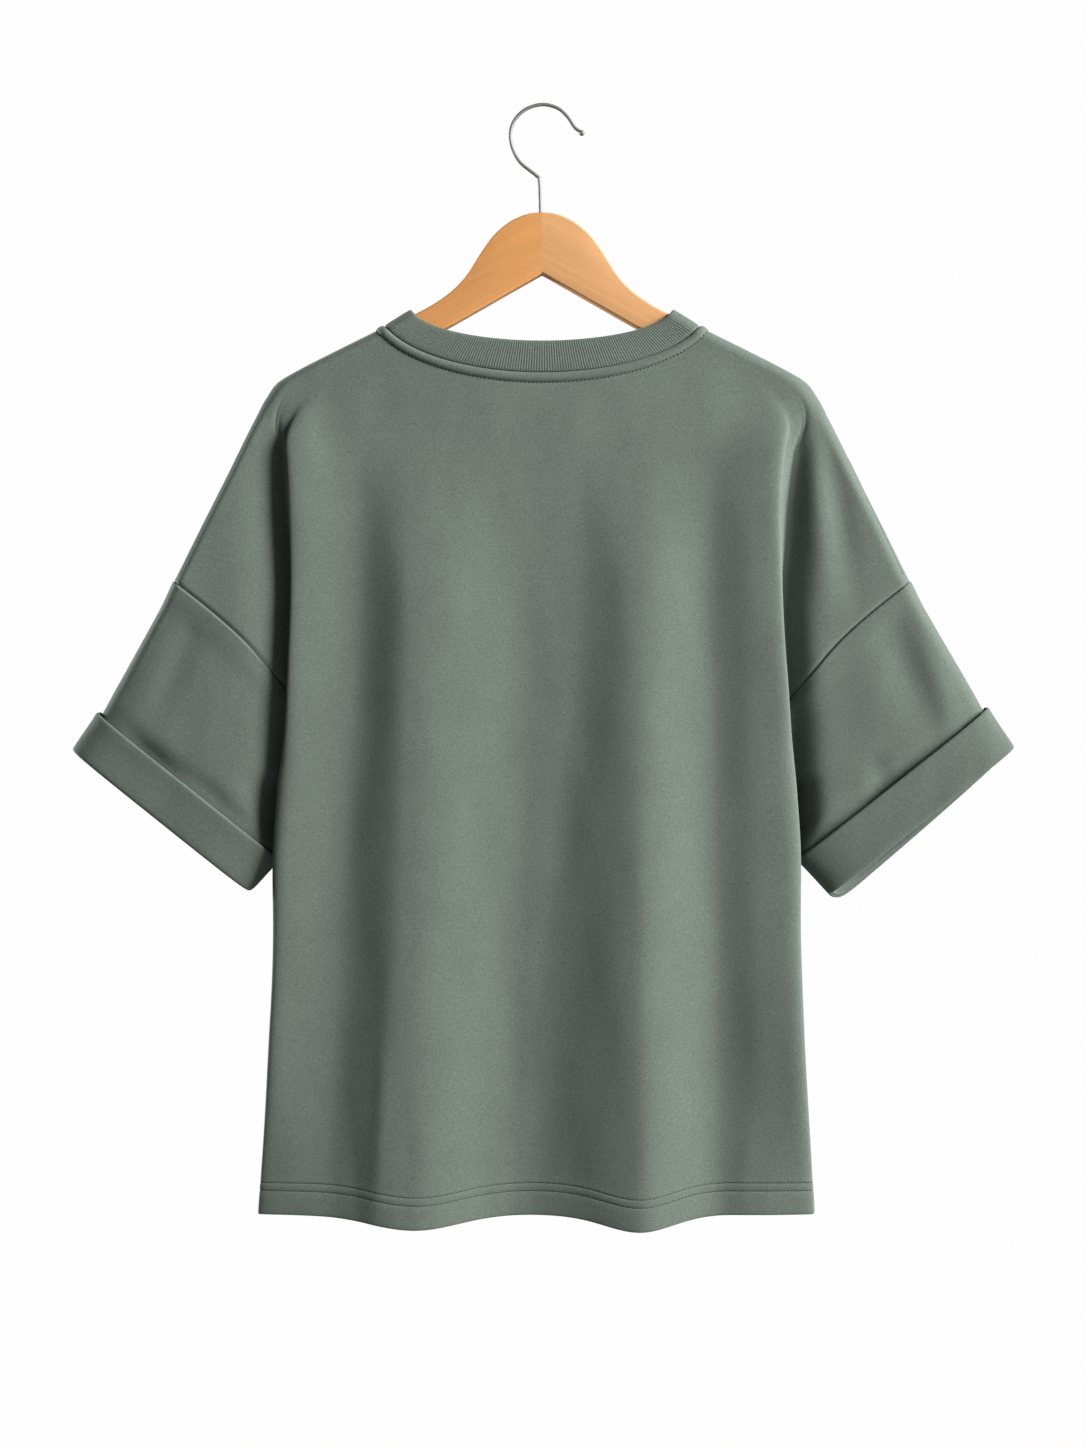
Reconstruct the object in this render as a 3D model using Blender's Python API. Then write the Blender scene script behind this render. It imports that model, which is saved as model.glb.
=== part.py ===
"""A boxy short-sleeved top that hangs on a flat wooden hanger with a wire hook.

The back of the garment faces -Y. The origin is the inner crown of the hook, where a rail would carry it.
All sizes below are in millimetres, and MM turns them into metres when a mesh is made.
"""

import math

import bpy
import numpy as np

MM = 0.001

# Cloth
WALL = 1.5
HEM_WALL = 2.6
HEM_DEPTH = 27.0
SEAM_GAP = 0.3
STRIP_RISE = 1.0
STRIP_STEPS = (0.0, 0.8, 8.0, 8.8)
STRIP_RISES = (0.0, STRIP_RISE, STRIP_RISE, 0.0)

# Neckline: ellipses round one centre height, with the band 27 mm deep
NECK_Z = -170.0
NECK_POINT_X = 133.5
BACK_NECK = {"half_width": 140.0, "drop": 58.0, "band_top_width": 111.4}
FRONT_NECK = {"half_width": 135.1, "drop": 115.0, "band_top_width": 110.9}
BAND_DEPTH = 27.0
BAND_TOP_X = 110.8
BAND_END_Z = -173.0
BAND_TOP_DEPTH = 0.92
BAND_WALL = 2.6
BAND_PROFILE = (
    # share of the band's depth, height over the seam's base
    (0.0, 0.55),
    (0.3, 1.0),
    (0.94, 1.0),
    (1.0, 0.0),
    (0.94, 1.0 - BAND_WALL),
    (0.3, 1.0 - BAND_WALL),
    (0.0, 1.45 - BAND_WALL),
)
BODY_MIDDLE = (0.0, 0.0, -400.0)

# Outer line of shoulder and sleeve top, from the neck point to the cuff
SHOULDER_LINE = (
    # x, z
    (133.5, -187.6),
    (176.0, -208.6),
    (208.0, -225.0),
    (222.5, -233.5),
    (234.0, -248.0),
    (243.5, -266.0),
    (269.5, -319.0),
    (292.0, -364.0),
    (311.5, -403.5),
    (374.0, -514.0),
    (470.0, -690.0),
)
SHOULDER_END_Z = -403.5
UNDERARM_Z = -573.0
UNDERARM_RADIUS = 8.0
ARMHOLE_SEAM = (
    # x, z
    (311.5, -403.5),
    (279.0, -429.0),
    (249.0, -456.0),
    (232.0, -475.5),
    (213.0, -499.0),
    (188.0, -535.0),
    (158.0, -573.0),
)

# How deep the hung cloth stands from the middle plane at each height
DEPTHS = (
    # z, body, shoulder and sleeve lobe, run of the rounded edge
    (-187.6, 10.5, 9.5, 20.5),
    (-232.0, 12.5, 9.5, 20.0),
    (-256.0, 14.0, 10.5, 14.0),
    (-300.0, 16.5, 15.0, 17.0),
    (-400.0, 19.0, 21.0, 23.0),
    (-573.0, 22.0, 23.0, 27.0),
    (-942.0, 21.0, 23.0, 27.0),
)

# The deep fold down each side of the body
SIDE_FOLDS = {
    -1: (
        # z, nose x, depth, valley x (the side seam, below the underarm)
        (-250.0, 218.0, 14.0, 224.0),
        (-290.0, 215.5, 24.0, 221.0),
        (-327.0, 213.4, 30.0, 219.0),
        (-392.0, 210.3, 35.0, 212.0),
        (-465.0, 211.6, 37.0, 202.0),
        (-520.0, 213.5, 37.0, 182.0),
        (-573.0, 217.0, 37.0, 158.0),
        (-640.0, 222.3, 37.0, 170.0),
        (-700.0, 223.6, 36.0, 188.0),
        (-800.0, 228.5, 32.0, 213.0),
        (-880.0, 234.0, 22.0, 229.0),
        (-942.0, 238.5, 13.0, 238.0),
    ),
    1: (
        (-250.0, 215.0, 14.0, 222.0),
        (-290.0, 206.0, 24.0, 215.0),
        (-327.0, 202.0, 30.0, 210.0),
        (-392.0, 201.4, 35.0, 205.0),
        (-465.0, 204.6, 37.0, 197.0),
        (-520.0, 208.0, 37.0, 180.0),
        (-573.0, 212.4, 37.0, 158.0),
        (-640.0, 215.2, 37.0, 168.0),
        (-700.0, 216.8, 36.0, 184.0),
        (-800.0, 221.0, 32.0, 206.0),
        (-880.0, 226.0, 22.0, 221.0),
        (-942.0, 230.0, 13.0, 229.5),
    ),
}
FOLD_LEAD = {-1: 38.0, 1: 60.0}
FOLD_FRONT = {-1: 13.0, 1: 27.0}
FOLD_START_Z, FOLD_FULL_Z = -250.0, -322.0
# How deep the fold is at its nose and where it turns back, as shares of its depth
NOSE_DEPTH, TURN_DEPTH = 0.68, 0.34
TURN_SHARES = (
    # z, how far out the turn lies from the valley to the nose, as a share
    (-490.0, 0.50),
    (-530.0, 0.50),
    (-551.0, 0.325),
    (-572.0, 0.15),
    (-596.0, 0.15),
    (-620.0, 0.15),
    (-675.0, 0.375),
    (-730.0, 0.60),
    (-790.0, 0.60),
)
# The shoulder and sleeve lobe past the valley: shares of the way to the edge, and its depth at the foot
LOBE_REACH = (0.14, 0.45, 0.80)
LOBE_FOOT_DEPTH = 0.12
# Over the folds the cloth lies flat: its guide points as shares of the way to the edge
FLAT_SHARES = (0, 0.27, 0.53, 0.74, 0.80, 0.85, 0.89, 0.92, 0.945, 0.965, 0.985, 1)
FLAT_TO_LOBE = (0.2, 0.9)
# The ridges fade out between these guide points, before the fold
RIDGE_FADE = (4.4, 2.6)

# Broad upright ridges (raised) and troughs (sunk) of the body
BACK_RIDGES = (
    # x at the top, x at the hem, z where it starts, z where it is full, half width, rise
    (-93.0, -106.0, -320.0, -640.0, 50.0, 15.0),
    (86.0, 81.0, -320.0, -560.0, 40.0, 17.0),
    (-3.0, -14.0, -420.0, -700.0, 34.0, -3.0),
)
FRONT_RIDGES = (
    (-112.0, -96.0, -350.0, -660.0, 46.0, 13.0),
    (-20.0, -8.0, -430.0, -760.0, 34.0, 7.0),
    (98.0, 104.0, -340.0, -600.0, 44.0, 14.0),
)
HEM_Z = -938.0
HEM_DIP = 0.62

# Sleeve ends: the open edge of each turned-up cuff
CUFF_CORNERS = {
    # upper x, z, lower x, z
    -1: (398.0, -546.7, 247.5, -667.0),
    1: (400.5, -544.5, 243.5, -669.0),
}
CUFF_DEPTH = 38.0
CUFF_HALF_DEPTH = 21.0
CUFF_FLARE = 2.7
CUFF_WALL = 2.2
CUFF_STAND = 1.2
CUFF_PROFILE = (
    # how far back from the open edge, how far in from the outer face
    (CUFF_DEPTH, 0.0),
    (CUFF_DEPTH * 0.5, 0.0),
    (2.0, 0.0),
    (0.5, 0.6),
    (0.0, 2.0),
    (0.0, CUFF_WALL + CUFF_STAND + WALL - 0.6),
    (CUFF_WALL, CUFF_WALL + CUFF_STAND + WALL),
    (CUFF_WALL, CUFF_WALL),
    (CUFF_DEPTH * 0.5, CUFF_WALL),
    (CUFF_DEPTH, CUFF_WALL),
)
TUBE_POWER = 2.3

# Hanger
WOOD_THICK = 12.0
WOOD_EDGE = 5.2
WOOD_END_THICK = 10.0
WOOD_SEATS = (2.6, 2.9, 4.2)
WOOD_TOP = (
    # x, z of the upper edge, from the mitre out
    (0.15, -90.9),
    (12.0, -93.3),
    (23.0, -97.5),
    (34.5, -106.0),
    (45.5, -119.0),
    (54.0, -132.6),
    (62.0, -145.0),
    (74.5, -156.0),
    (87.0, -165.8),
    (103.5, -175.3),
)
WOOD_NOTCH_Z = -143.2
WOOD_LOWER = ((77.4, -187.3), (160.0, -229.0), (206.0, -252.0))
WOOD_END_X, WOOD_END_Z, WOOD_END_RADIUS = 206.0, -240.5, 11.5
WOOD_NOSE_START_X = 200.0
WOOD_NOSE_ANGLES = (0, 30, 52, 70, 82)
WOOD_NOSE_THINNING = 0.8
WOOD_LEAST_FLAT = 0.05

WIRE_RADIUS = 1.5
BALL_RADIUS = 2.45
BALL_STEP = 0.2
BALL_ANGLES = (-35, -10, 20, 50, 75)
HOOK_ROUTE = (
    # x, z of the wire's middle, from the wood up and round to the ball
    (-1.4, -90.55),
    (-2.4, -63.4),
    (-5.2, -58.6),
    (-19.5, -46.4),
    (-26.7, -30.0),
    (-24.8, -14.6),
    (-14.8, -3.2),
    (-0.4, 1.5),
    (12.6, -1.2),
    (21.2, -8.3),
    (27.6, -17.6),
    (32.2, -21.4),
)

# Mesh steps
BODY_COLUMNS, FOLD_COLUMNS, LOBE_COLUMNS = 7, 7, 5
UPPER_ROW_HEIGHTS = (-208.6, -233.5, -250.0, -275.0, -312.0, -355.0, SHOULDER_END_Z)
LOWER_ROW_HEIGHTS = (-580.0, -596.0, -630.0, -690.0, -765.0, -845.0)
ARMHOLE_ROWS = 9
SLEEVE_RINGS = 4
SECTION_SIDES = 20
WIRE_SIDES = 10

MATERIALS = {
    # linear colour, roughness, metallic
    "jersey": ((0.150, 0.180, 0.152), 0.85, 0.0),
    "rib": ((0.140, 0.170, 0.145), 0.88, 0.0),
    "wood": ((0.720, 0.400, 0.155), 0.42, 0.0),
    "chrome": ((0.800, 0.800, 0.790), 0.16, 1.0),
}


def smoothstep(value, low, high):
    t = np.clip((np.asarray(value, float) - low) / (high - low), 0.0, 1.0)
    return t * t * (3 - 2 * t)


def along(z, table, column):
    """A table's column at height z, on a smooth curve through its rows."""
    rows = np.array(table, float)
    at, values = -rows[:, 0], rows[:, column]
    slopes = np.gradient(values, at)
    h = np.clip(-np.asarray(z, float), at[0], at[-1])
    i = np.clip(np.searchsorted(at, h) - 1, 0, len(at) - 2)
    span = at[i + 1] - at[i]
    t = (h - at[i]) / span
    return (
        values[i] * (1 + 2 * t) * (1 - t) ** 2
        + slopes[i] * span * t * (1 - t) ** 2
        + values[i + 1] * t * t * (3 - 2 * t)
        - slopes[i + 1] * span * t * t * (1 - t)
    )


def between(a, b, c, d, t):
    """The point at share t from b to c on a smooth curve through a, b, c and d."""
    bend = (2 * a - 5 * b + 4 * c - d) * t * t + (3 * b - a - 3 * c + d) * t**3
    return 0.5 * (2 * b + (c - a) * t + bend)


def line_x(z, line):
    """x on a line of (x, z) points that falls steadily."""
    points = np.array(line, float)
    return np.interp(-np.asarray(z, float), -points[:, 1], points[:, 0])


def edge_x(z):
    return line_x(z, SHOULDER_LINE)


def ridge_rise(x, z, ridges):
    rise = np.zeros_like(x)
    for top_x, hem_x, start, full, width, height in ridges:
        middle = np.interp(-z, (-start, -HEM_Z), (top_x, hem_x))
        grown = smoothstep(-z, -start, -full)
        rise += height * grown * np.exp(-(((x - middle) / width) ** 2))
    return rise


def hem_z(x, ridges):
    at_hem = np.full_like(x, HEM_Z)
    return at_hem - HEM_DIP * np.maximum(ridge_rise(x, at_hem, ridges), 0.0)


def section_keys(side, z):
    """Twelve guide points (x, depth) across one half of a panel at height z."""
    edge = edge_x(z)
    body, lobe = along(z, DEPTHS, 1), along(z, DEPTHS, 2)
    nose, depth, valley = (along(z, SIDE_FOLDS[side], column) for column in (1, 2, 3))
    above = np.clip(z - UNDERARM_Z, 0.0, UNDERARM_RADIUS) / UNDERARM_RADIUS
    floor = UNDERARM_RADIUS * np.sqrt(1 - (1 - above) ** 2)
    turn = valley + along(z, TURN_SHARES, 1) * (nose - valley)
    reach = edge - valley
    folded = (
        (0 * z, body),
        ((nose - FOLD_LEAD[side]) / 3, body),
        ((nose - FOLD_LEAD[side]) * 2 / 3, body),
        (nose - FOLD_LEAD[side], body),
        (nose - FOLD_FRONT[side], depth),
        (nose, floor + NOSE_DEPTH * (depth - floor)),
        (turn, floor + TURN_DEPTH * (depth - floor)),
        (valley, floor),
        (valley + LOBE_REACH[0] * reach, floor + LOBE_FOOT_DEPTH * (lobe - floor)),
        (valley + LOBE_REACH[1] * reach, lobe),
        (valley + LOBE_REACH[2] * reach, lobe),
        (edge, lobe),
    )
    fold = smoothstep(-z, -FOLD_START_Z, -FOLD_FULL_Z)
    keys = []
    for share, (x, y) in zip(FLAT_SHARES, folded):
        flat_y = body + (lobe - body) * smoothstep(share, *FLAT_TO_LOBE)
        keys.append((edge * share * (1 - fold) + x * fold, flat_y * (1 - fold) + y * fold))
    return np.array(keys)


def section(side, s, z, ridges):
    """Points of a panel's outer face at height z: s runs 0 at the centre, 7 in the valley, 11 at the edge."""
    s, z = np.broadcast_arrays(np.asarray(s, float), np.asarray(z, float))
    keys = section_keys(side, z)
    count = len(keys)
    i = np.clip(np.floor(s).astype(int), 0, count - 2)
    t = s - i

    def picked(index):
        x = np.take_along_axis(keys[:, 0], np.clip(index, 0, count - 1)[None], 0)[0]
        y = np.take_along_axis(keys[:, 1], np.clip(index, 0, count - 1)[None], 0)[0]
        return x, y

    before_x, before_y = picked(np.abs(i - 1))
    before_x = np.where(i == 0, -before_x, before_x)
    first_x, first_y = picked(i)
    second_x, second_y = picked(i + 1)
    after_x, after_y = picked(i + 2)
    below = (z <= UNDERARM_Z) & (i == 6)
    turn_x, turn_y = picked(np.full_like(i, 6))
    after_x, after_y = np.where(below, turn_x, after_x), np.where(below, -turn_y, after_y)

    x = between(before_x, first_x, second_x, after_x, t)
    depth = between(before_y, first_y, second_y, after_y, t)
    depth = depth + smoothstep(s, *RIDGE_FADE) * ridge_rise(side * x, z, ridges)
    near = np.clip((edge_x(z) - x) / along(z, DEPTHS, 3), 0.0, 1.0)
    return side * x, depth * np.sqrt(1 - (1 - near) ** 2)


def solve(low, high, test):
    """Where test turns from negative to positive between two arrays."""
    for _ in range(44):
        middle = (low + high) / 2
        positive = test(middle) > 0
        low, high = np.where(positive, low, middle), np.where(positive, middle, high)
    return (low + high) / 2


def neck_row_z(x, neck, grown):
    wide, drop = neck["half_width"] + grown, neck["drop"] + grown
    return NECK_Z - drop * np.sqrt(np.clip(1 - (x / wide) ** 2, 0.0, 1.0))


def strip_end(neck, grown):
    """Where a neck row meets the shoulder line."""
    low, high = np.array(NECK_POINT_X - 3), np.array(NECK_POINT_X + grown + 3)
    line = np.array(SHOULDER_LINE, float)
    x = solve(low, high, lambda x: neck_row_z(x, neck, grown) - np.interp(x, line[:, 0], line[:, 1]))
    return float(x), float(np.interp(x, line[:, 0], line[:, 1]))


def panel_rows(neck):
    """Each row's shape: (z of its end, x of its end, share of the neck's curve left in it, strip step)."""
    rows = []
    for step in STRIP_STEPS:
        x, z = strip_end(neck, step)
        rows.append((z, x, 1.0, step))
    last_z = rows[-1][0]
    for z in UPPER_ROW_HEIGHTS:
        curve = (z - SHOULDER_END_Z) / (last_z - SHOULDER_END_Z)
        rows.append((z, float(edge_x(z)), curve, STRIP_STEPS[-1]))
    return rows


def half_panel(side, neck, ridges):
    """Outer points of one half, rows down and columns out, with NaN where the sleeve's gap begins."""
    body_s = np.linspace(0, 3, BODY_COLUMNS + 1)
    fold_s = np.linspace(3, 7, FOLD_COLUMNS + 1)[1:]
    lobe_q = np.sin(np.linspace(0, math.pi / 2, LOBE_COLUMNS + 1))[1:]
    main_s = np.concatenate([body_s, fold_s])
    grid = []
    for end_z, end_x, curve, step in panel_rows(neck):
        strip_x, strip_z = strip_end(neck, step)

        def row_z(x):
            share = np.clip(np.abs(x) / end_x, 0.0, 1.0)
            return end_z + curve * (neck_row_z(share * strip_x, neck, step) - strip_z)

        s = np.concatenate([main_s, 7 + 4 * lobe_q])
        low, high = np.full_like(s, end_z - neck["drop"] - 30), np.full_like(s, end_z)
        z = solve(low, high, lambda z: z - row_z(section(side, s, z, ridges)[0]))
        grid.append((s, z))
    for k in range(1, ARMHOLE_ROWS + 1):
        t = (1 - math.cos(math.pi * k / ARMHOLE_ROWS)) / 2
        height = SHOULDER_END_Z + (UNDERARM_Z - SHOULDER_END_Z) * t
        seam = line_x(height, ARMHOLE_SEAM)
        past_seam = lambda s: side * section(side, s, height, ridges)[0] - seam
        reach = float(solve(np.array(7.0), np.array(11.0), past_seam)) - 7
        reach *= k < ARMHOLE_ROWS
        s = np.concatenate([main_s, 7 + reach * lobe_q])
        grid.append((s, np.full_like(s, height)))
    points = []
    for s, z in grid:
        x, depth = section(side, s, z, ridges)
        points.append(np.stack([x, depth, z], axis=1))
    absent = np.full((len(lobe_q), 3), np.nan)
    hem_x = section(side, main_s, np.full_like(main_s, HEM_Z), ridges)[0]
    bottom = hem_z(hem_x, ridges)
    rows = [np.full_like(main_s, height) for height in LOWER_ROW_HEIGHTS]
    rows += [bottom + HEM_DEPTH + 1.0, bottom + HEM_DEPTH, bottom]
    for z in rows:
        x, depth = section(side, main_s, z, ridges)
        points.append(np.concatenate([np.stack([x, depth, z], axis=1), absent]))
    return np.array(points)


def weld(points, faces):
    """Coincident points made one, and the faces that collapse with them left out or made triangles."""
    _, first, index = np.unique(np.round(points, 4), axis=0, return_index=True, return_inverse=True)
    index = index.reshape(-1)
    kept = []
    for face in faces:
        corners = []
        for corner in index[list(face)]:
            if corner not in corners:
                corners.append(int(corner))
        if len(corners) > 2:
            kept.append(tuple(corners))
    return points[first], kept, first


def vertex_normals(points, faces):
    normals = np.zeros_like(points)
    for face in faces:
        corners = points[list(face)]
        around = np.roll(corners, -1, axis=0)
        across = np.cross(corners, around).sum(axis=0)
        normals[list(face)] += across / np.linalg.norm(across)
    return normals / np.linalg.norm(normals, axis=1)[:, None]


def make_object(name, points, faces, material, smooth_angle=50):
    mesh = bpy.data.meshes.new(name)
    mesh.from_pydata((points * MM).tolist(), [], faces)
    mesh.validate()
    mesh.shade_smooth()
    mesh.set_sharp_from_angle(angle=math.radians(smooth_angle))
    mesh.materials.append(bpy.data.materials[material])
    made = bpy.data.objects.new(name, mesh)
    bpy.context.scene.collection.objects.link(made)
    return made


def make_shell(name, outer, inner, faces, material):
    """A closed wall: the outer faces, the same faces turned round inside, and a rim along each open edge."""
    count = len(outer)
    edges = {(face[k], face[(k + 1) % len(face)]) for face in faces for k in range(len(face))}
    rim = [(b, a, a + count, b + count) for a, b in edges if (b, a) not in edges]
    inside = [tuple(corner + count for corner in reversed(face)) for face in faces]
    return make_object(name, np.concatenate([outer, inner]), faces + inside + sorted(rim), material)


def grid_faces(rows, columns, closed=False, turned=False):
    faces = []
    for r in range(rows - 1):
        for c in range(columns if closed else columns - 1):
            d = (c + 1) % columns
            face = (r * columns + c, (r + 1) * columns + c, (r + 1) * columns + d, r * columns + d)
            faces.append(face[::-1] if turned else face)
    return faces


def wrap_faces(rows, columns, turned=False):
    """Faces that join the last ring to the first, for a wall that closes on itself."""
    last = (rows - 1) * columns
    faces = []
    for c in range(columns):
        d = (c + 1) % columns
        face = (last + c, c, d, last + d)
        faces.append(face[::-1] if turned else face)
    return faces


def make_panel(name, toward, neck, ridges):
    """One body panel, toward -1 for the back and 1 for the front. Returns its points for what joins it."""
    left, right = half_panel(-1, neck, ridges), half_panel(1, neck, ridges)
    sheet = np.concatenate([left[:, :0:-1], right], axis=1)
    sheet[..., 1] *= toward
    rows, columns = sheet.shape[:2]
    points = sheet.reshape(-1, 3)
    faces = [
        face
        for face in grid_faces(rows, columns, turned=toward > 0)
        if not np.isnan(points[list(face)]).any()
    ]
    used = sorted({corner for face in faces for corner in face})
    slot = {corner: k for k, corner in enumerate(used)}
    kept, whole, first = weld(points[used], [tuple(slot[c] for c in face) for face in faces])
    welded_normals = vertex_normals(kept, whole)
    on_seam = np.abs(kept[:, 1]) < SEAM_GAP / 10
    welded_normals[on_seam, 1] = 0.0
    welded_normals /= np.linalg.norm(welded_normals, axis=1)[:, None]
    row_of = np.array(used)[first] // columns
    rise = np.zeros(rows)
    rise[: len(STRIP_RISES)] = STRIP_RISES
    wall = np.full(rows, WALL)
    wall[-2:] = HEM_WALL
    outer = kept + welded_normals * rise[row_of][:, None]
    inner = kept - welded_normals * wall[row_of][:, None]
    for side_points in (outer, inner):
        side_points[on_seam, 1] = toward * SEAM_GAP / 2
    make_shell(name, outer, inner, whole, "jersey")
    lookup = {tuple(np.round(p, 4)): k for k, p in enumerate(kept)}
    which = [lookup[tuple(np.round(p, 4))] if not np.isnan(p).any() else -1 for p in points]
    which = np.array(which).reshape(rows, columns)
    return {"outer": outer, "inner": inner, "ids": which, "base": kept}


def cuff_frame(side):
    upper_x, upper_z, lower_x, lower_z = CUFF_CORNERS[side]
    upper = np.array([side * upper_x, 0.0, upper_z])
    lower = np.array([side * lower_x, 0.0, lower_z])
    across = (lower - upper) / np.linalg.norm(lower - upper)
    out = np.array([-across[2] * side, 0.0, across[0] * side])
    out = out if out[2] < 0 else -out
    return (upper + lower) / 2, across, out, np.linalg.norm(lower - upper) / 2


def cuff_ring(side, shares, back, inset):
    """A ring of the cuff's form, so far back from its open edge and so far inside its outer face."""
    middle, across, out, half_width = cuff_frame(side)
    flare = CUFF_FLARE * back / CUFF_DEPTH - inset
    return flat_tube(shares, middle - out * back, across, half_width + flare, CUFF_HALF_DEPTH + flare)


def flat_tube(shares, centre, across, half_width, half_depth):
    """Points round a flattened tube, from its upper corner by way of the back and its lower corner."""
    angle = np.linspace(0, 2 * math.pi, 721)
    c, s = np.cos(angle), np.sin(angle)
    c, s = np.sign(c) * np.abs(c) ** (2 / TUBE_POWER), np.sign(s) * np.abs(s) ** (2 / TUBE_POWER)
    ring = np.stack([-c * half_width, -s * half_depth], axis=1)
    length = np.concatenate([[0], np.cumsum(np.linalg.norm(np.diff(ring, axis=0), axis=1))])
    at = np.asarray(shares) * length[-1]
    u, y = np.interp(at, length, ring[:, 0]), np.interp(at, length, ring[:, 1])
    return centre + np.outer(u, across) + np.outer(y, [0.0, 1.0, 0.0])


def armhole_ring(side, back, front):
    """Outer and inner points round an armhole, from the shoulder end by way of the back and the underarm."""
    first = len(STRIP_STEPS) + len(UPPER_ROW_HEIGHTS) - 1
    last = first + ARMHOLE_ROWS
    column = 0 if side < 0 else back["ids"].shape[1] - 1
    back_ids = back["ids"][first : last + 1, column]
    front_ids = front["ids"][first : last + 1, column][::-1][1:-1]
    rings = []
    for face in ("outer", "inner"):
        ring = np.concatenate([back[face][back_ids], front[face][front_ids]])
        ring[[0, ARMHOLE_ROWS], 1] = 0.0
        rings.append(ring)
    return rings


def make_sleeve(side, back, front):
    outer_start, inner_start = armhole_ring(side, back, front)
    across, out = cuff_frame(side)[1:3]
    # At the underarm the sleeve's wall runs square to the sleeve, not to the panels
    inner_start[ARMHOLE_ROWS] = outer_start[ARMHOLE_ROWS] - WALL * across
    steps = np.linalg.norm(np.diff(outer_start, axis=0, append=outer_start[:1]), axis=1)
    shares = np.concatenate([[0], np.cumsum(steps)[:-1]])
    half = ARMHOLE_ROWS
    shares[:half] *= 0.5 / shares[half]
    shares[half + 1 :] = 0.5 + 0.5 * (shares[half + 1 :] - shares[half]) / (steps.sum() - shares[half])
    shares[half] = 0.5
    inset = CUFF_STAND + CUFF_WALL
    ends = [
        [cuff_ring(side, shares, back, inset + wall) for back in (CUFF_DEPTH + 2.0, CUFF_WALL + SEAM_GAP)]
        for wall in (0.0, WALL)
    ]
    shift = SEAM_GAP * (out + np.array([side * 1.0, 0.0, -1.0])) / 2
    outer, inner = [], []
    for k in range(SLEEVE_RINGS + 1):
        t = k / SLEEVE_RINGS
        outer.append((outer_start + shift) * (1 - t) + ends[0][0] * t)
        inner.append((inner_start + shift) * (1 - t) + ends[1][0] * t)
    outer.append(ends[0][1])
    inner.append(ends[1][1])
    faces = grid_faces(SLEEVE_RINGS + 2, len(outer_start), closed=True, turned=side > 0)
    name = "sleeve_left" if side < 0 else "sleeve_right"
    make_shell(name, np.concatenate(outer), np.concatenate(inner), faces, "jersey")
    return shares


def make_cuff(side, shares):
    """A turned-up hem: its wall covers the sleeve's end, turns round the open edge and lies on the sleeve."""
    rings = [cuff_ring(side, shares, back, inset) for back, inset in CUFF_PROFILE]
    count = len(rings)
    faces = grid_faces(count, len(shares), closed=True, turned=side > 0)
    faces += wrap_faces(count, len(shares), turned=side > 0)
    make_object("cuff_left" if side < 0 else "cuff_right", np.concatenate(rings), faces, "jersey")


def make_neckband(back, front):
    """The band: a wall between the neck seam and a smaller ellipse, lying over the wood at each shoulder."""
    edge_back = back["ids"][0]
    edge_front = front["ids"][0][::-1][1:-1]
    outer_seam = np.concatenate([back["base"][edge_back], front["base"][edge_front]])
    low_x = outer_seam[:, 0] / NECK_POINT_X
    rear = outer_seam[:, 1] <= 0
    drop = np.where(rear, BACK_NECK["drop"], FRONT_NECK["drop"]) - BAND_DEPTH
    top_x = low_x * BAND_TOP_X
    wide = np.where(rear, BACK_NECK["band_top_width"], FRONT_NECK["band_top_width"])
    top_z = np.where(
        np.abs(low_x) > 0.9999,
        BAND_END_Z,
        NECK_Z - drop * np.sqrt(np.clip(1 - (top_x / wide) ** 2, 0.0, 1.0)),
    )
    top = np.stack([top_x, outer_seam[:, 1] * BAND_TOP_DEPTH, top_z], axis=1)
    along_band = top - outer_seam
    along_band /= np.linalg.norm(along_band, axis=1)[:, None]
    ring_step = np.roll(outer_seam, -1, axis=0) - np.roll(outer_seam, 1, axis=0)
    normal = np.cross(ring_step, along_band)
    normal /= np.linalg.norm(normal, axis=1)[:, None]
    inward = (normal * (outer_seam - BODY_MIDDLE)).sum(axis=1) < 0
    normal *= np.where(inward, -1.0, 1.0)[:, None]
    start = outer_seam + along_band * SEAM_GAP
    rings = [start + (top - start) * share + normal * height for share, height in BAND_PROFILE]
    count, columns = len(rings), len(outer_seam)
    faces = grid_faces(count, columns, closed=True, turned=True)
    faces += wrap_faces(count, columns, turned=True)
    make_object("neckband", np.concatenate(rings), faces, "rib")


def capped_loft(name, rings, material, turned=False):
    """Rings joined in order, with a flat cap on each end."""
    count, columns = len(rings), len(rings[0])
    faces = grid_faces(count, columns, closed=True, turned=turned)
    first, last = tuple(range(columns)), tuple(range((count - 1) * columns, count * columns))
    faces += [first[::-1], last] if turned else [first, last[::-1]]
    return make_object(name, np.concatenate(rings), faces, material, smooth_angle=40)


def rounded_section(x, top, bottom, half_thick, edge):
    """A round-edged bar's section in the plane of y and z."""
    points = []
    for corner_y, corner_z, start in (
        (half_thick - edge, top - edge, 0.0),
        (edge - half_thick, top - edge, 90.0),
        (edge - half_thick, bottom + edge, 180.0),
        (half_thick - edge, bottom + edge, 270.0),
    ):
        for k in range(SECTION_SIDES // 4):
            angle = math.radians(start + 90.0 * k / (SECTION_SIDES // 4 - 1))
            points.append((x, corner_y + edge * math.cos(angle), corner_z + edge * math.sin(angle)))
    return np.array(points)


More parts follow.
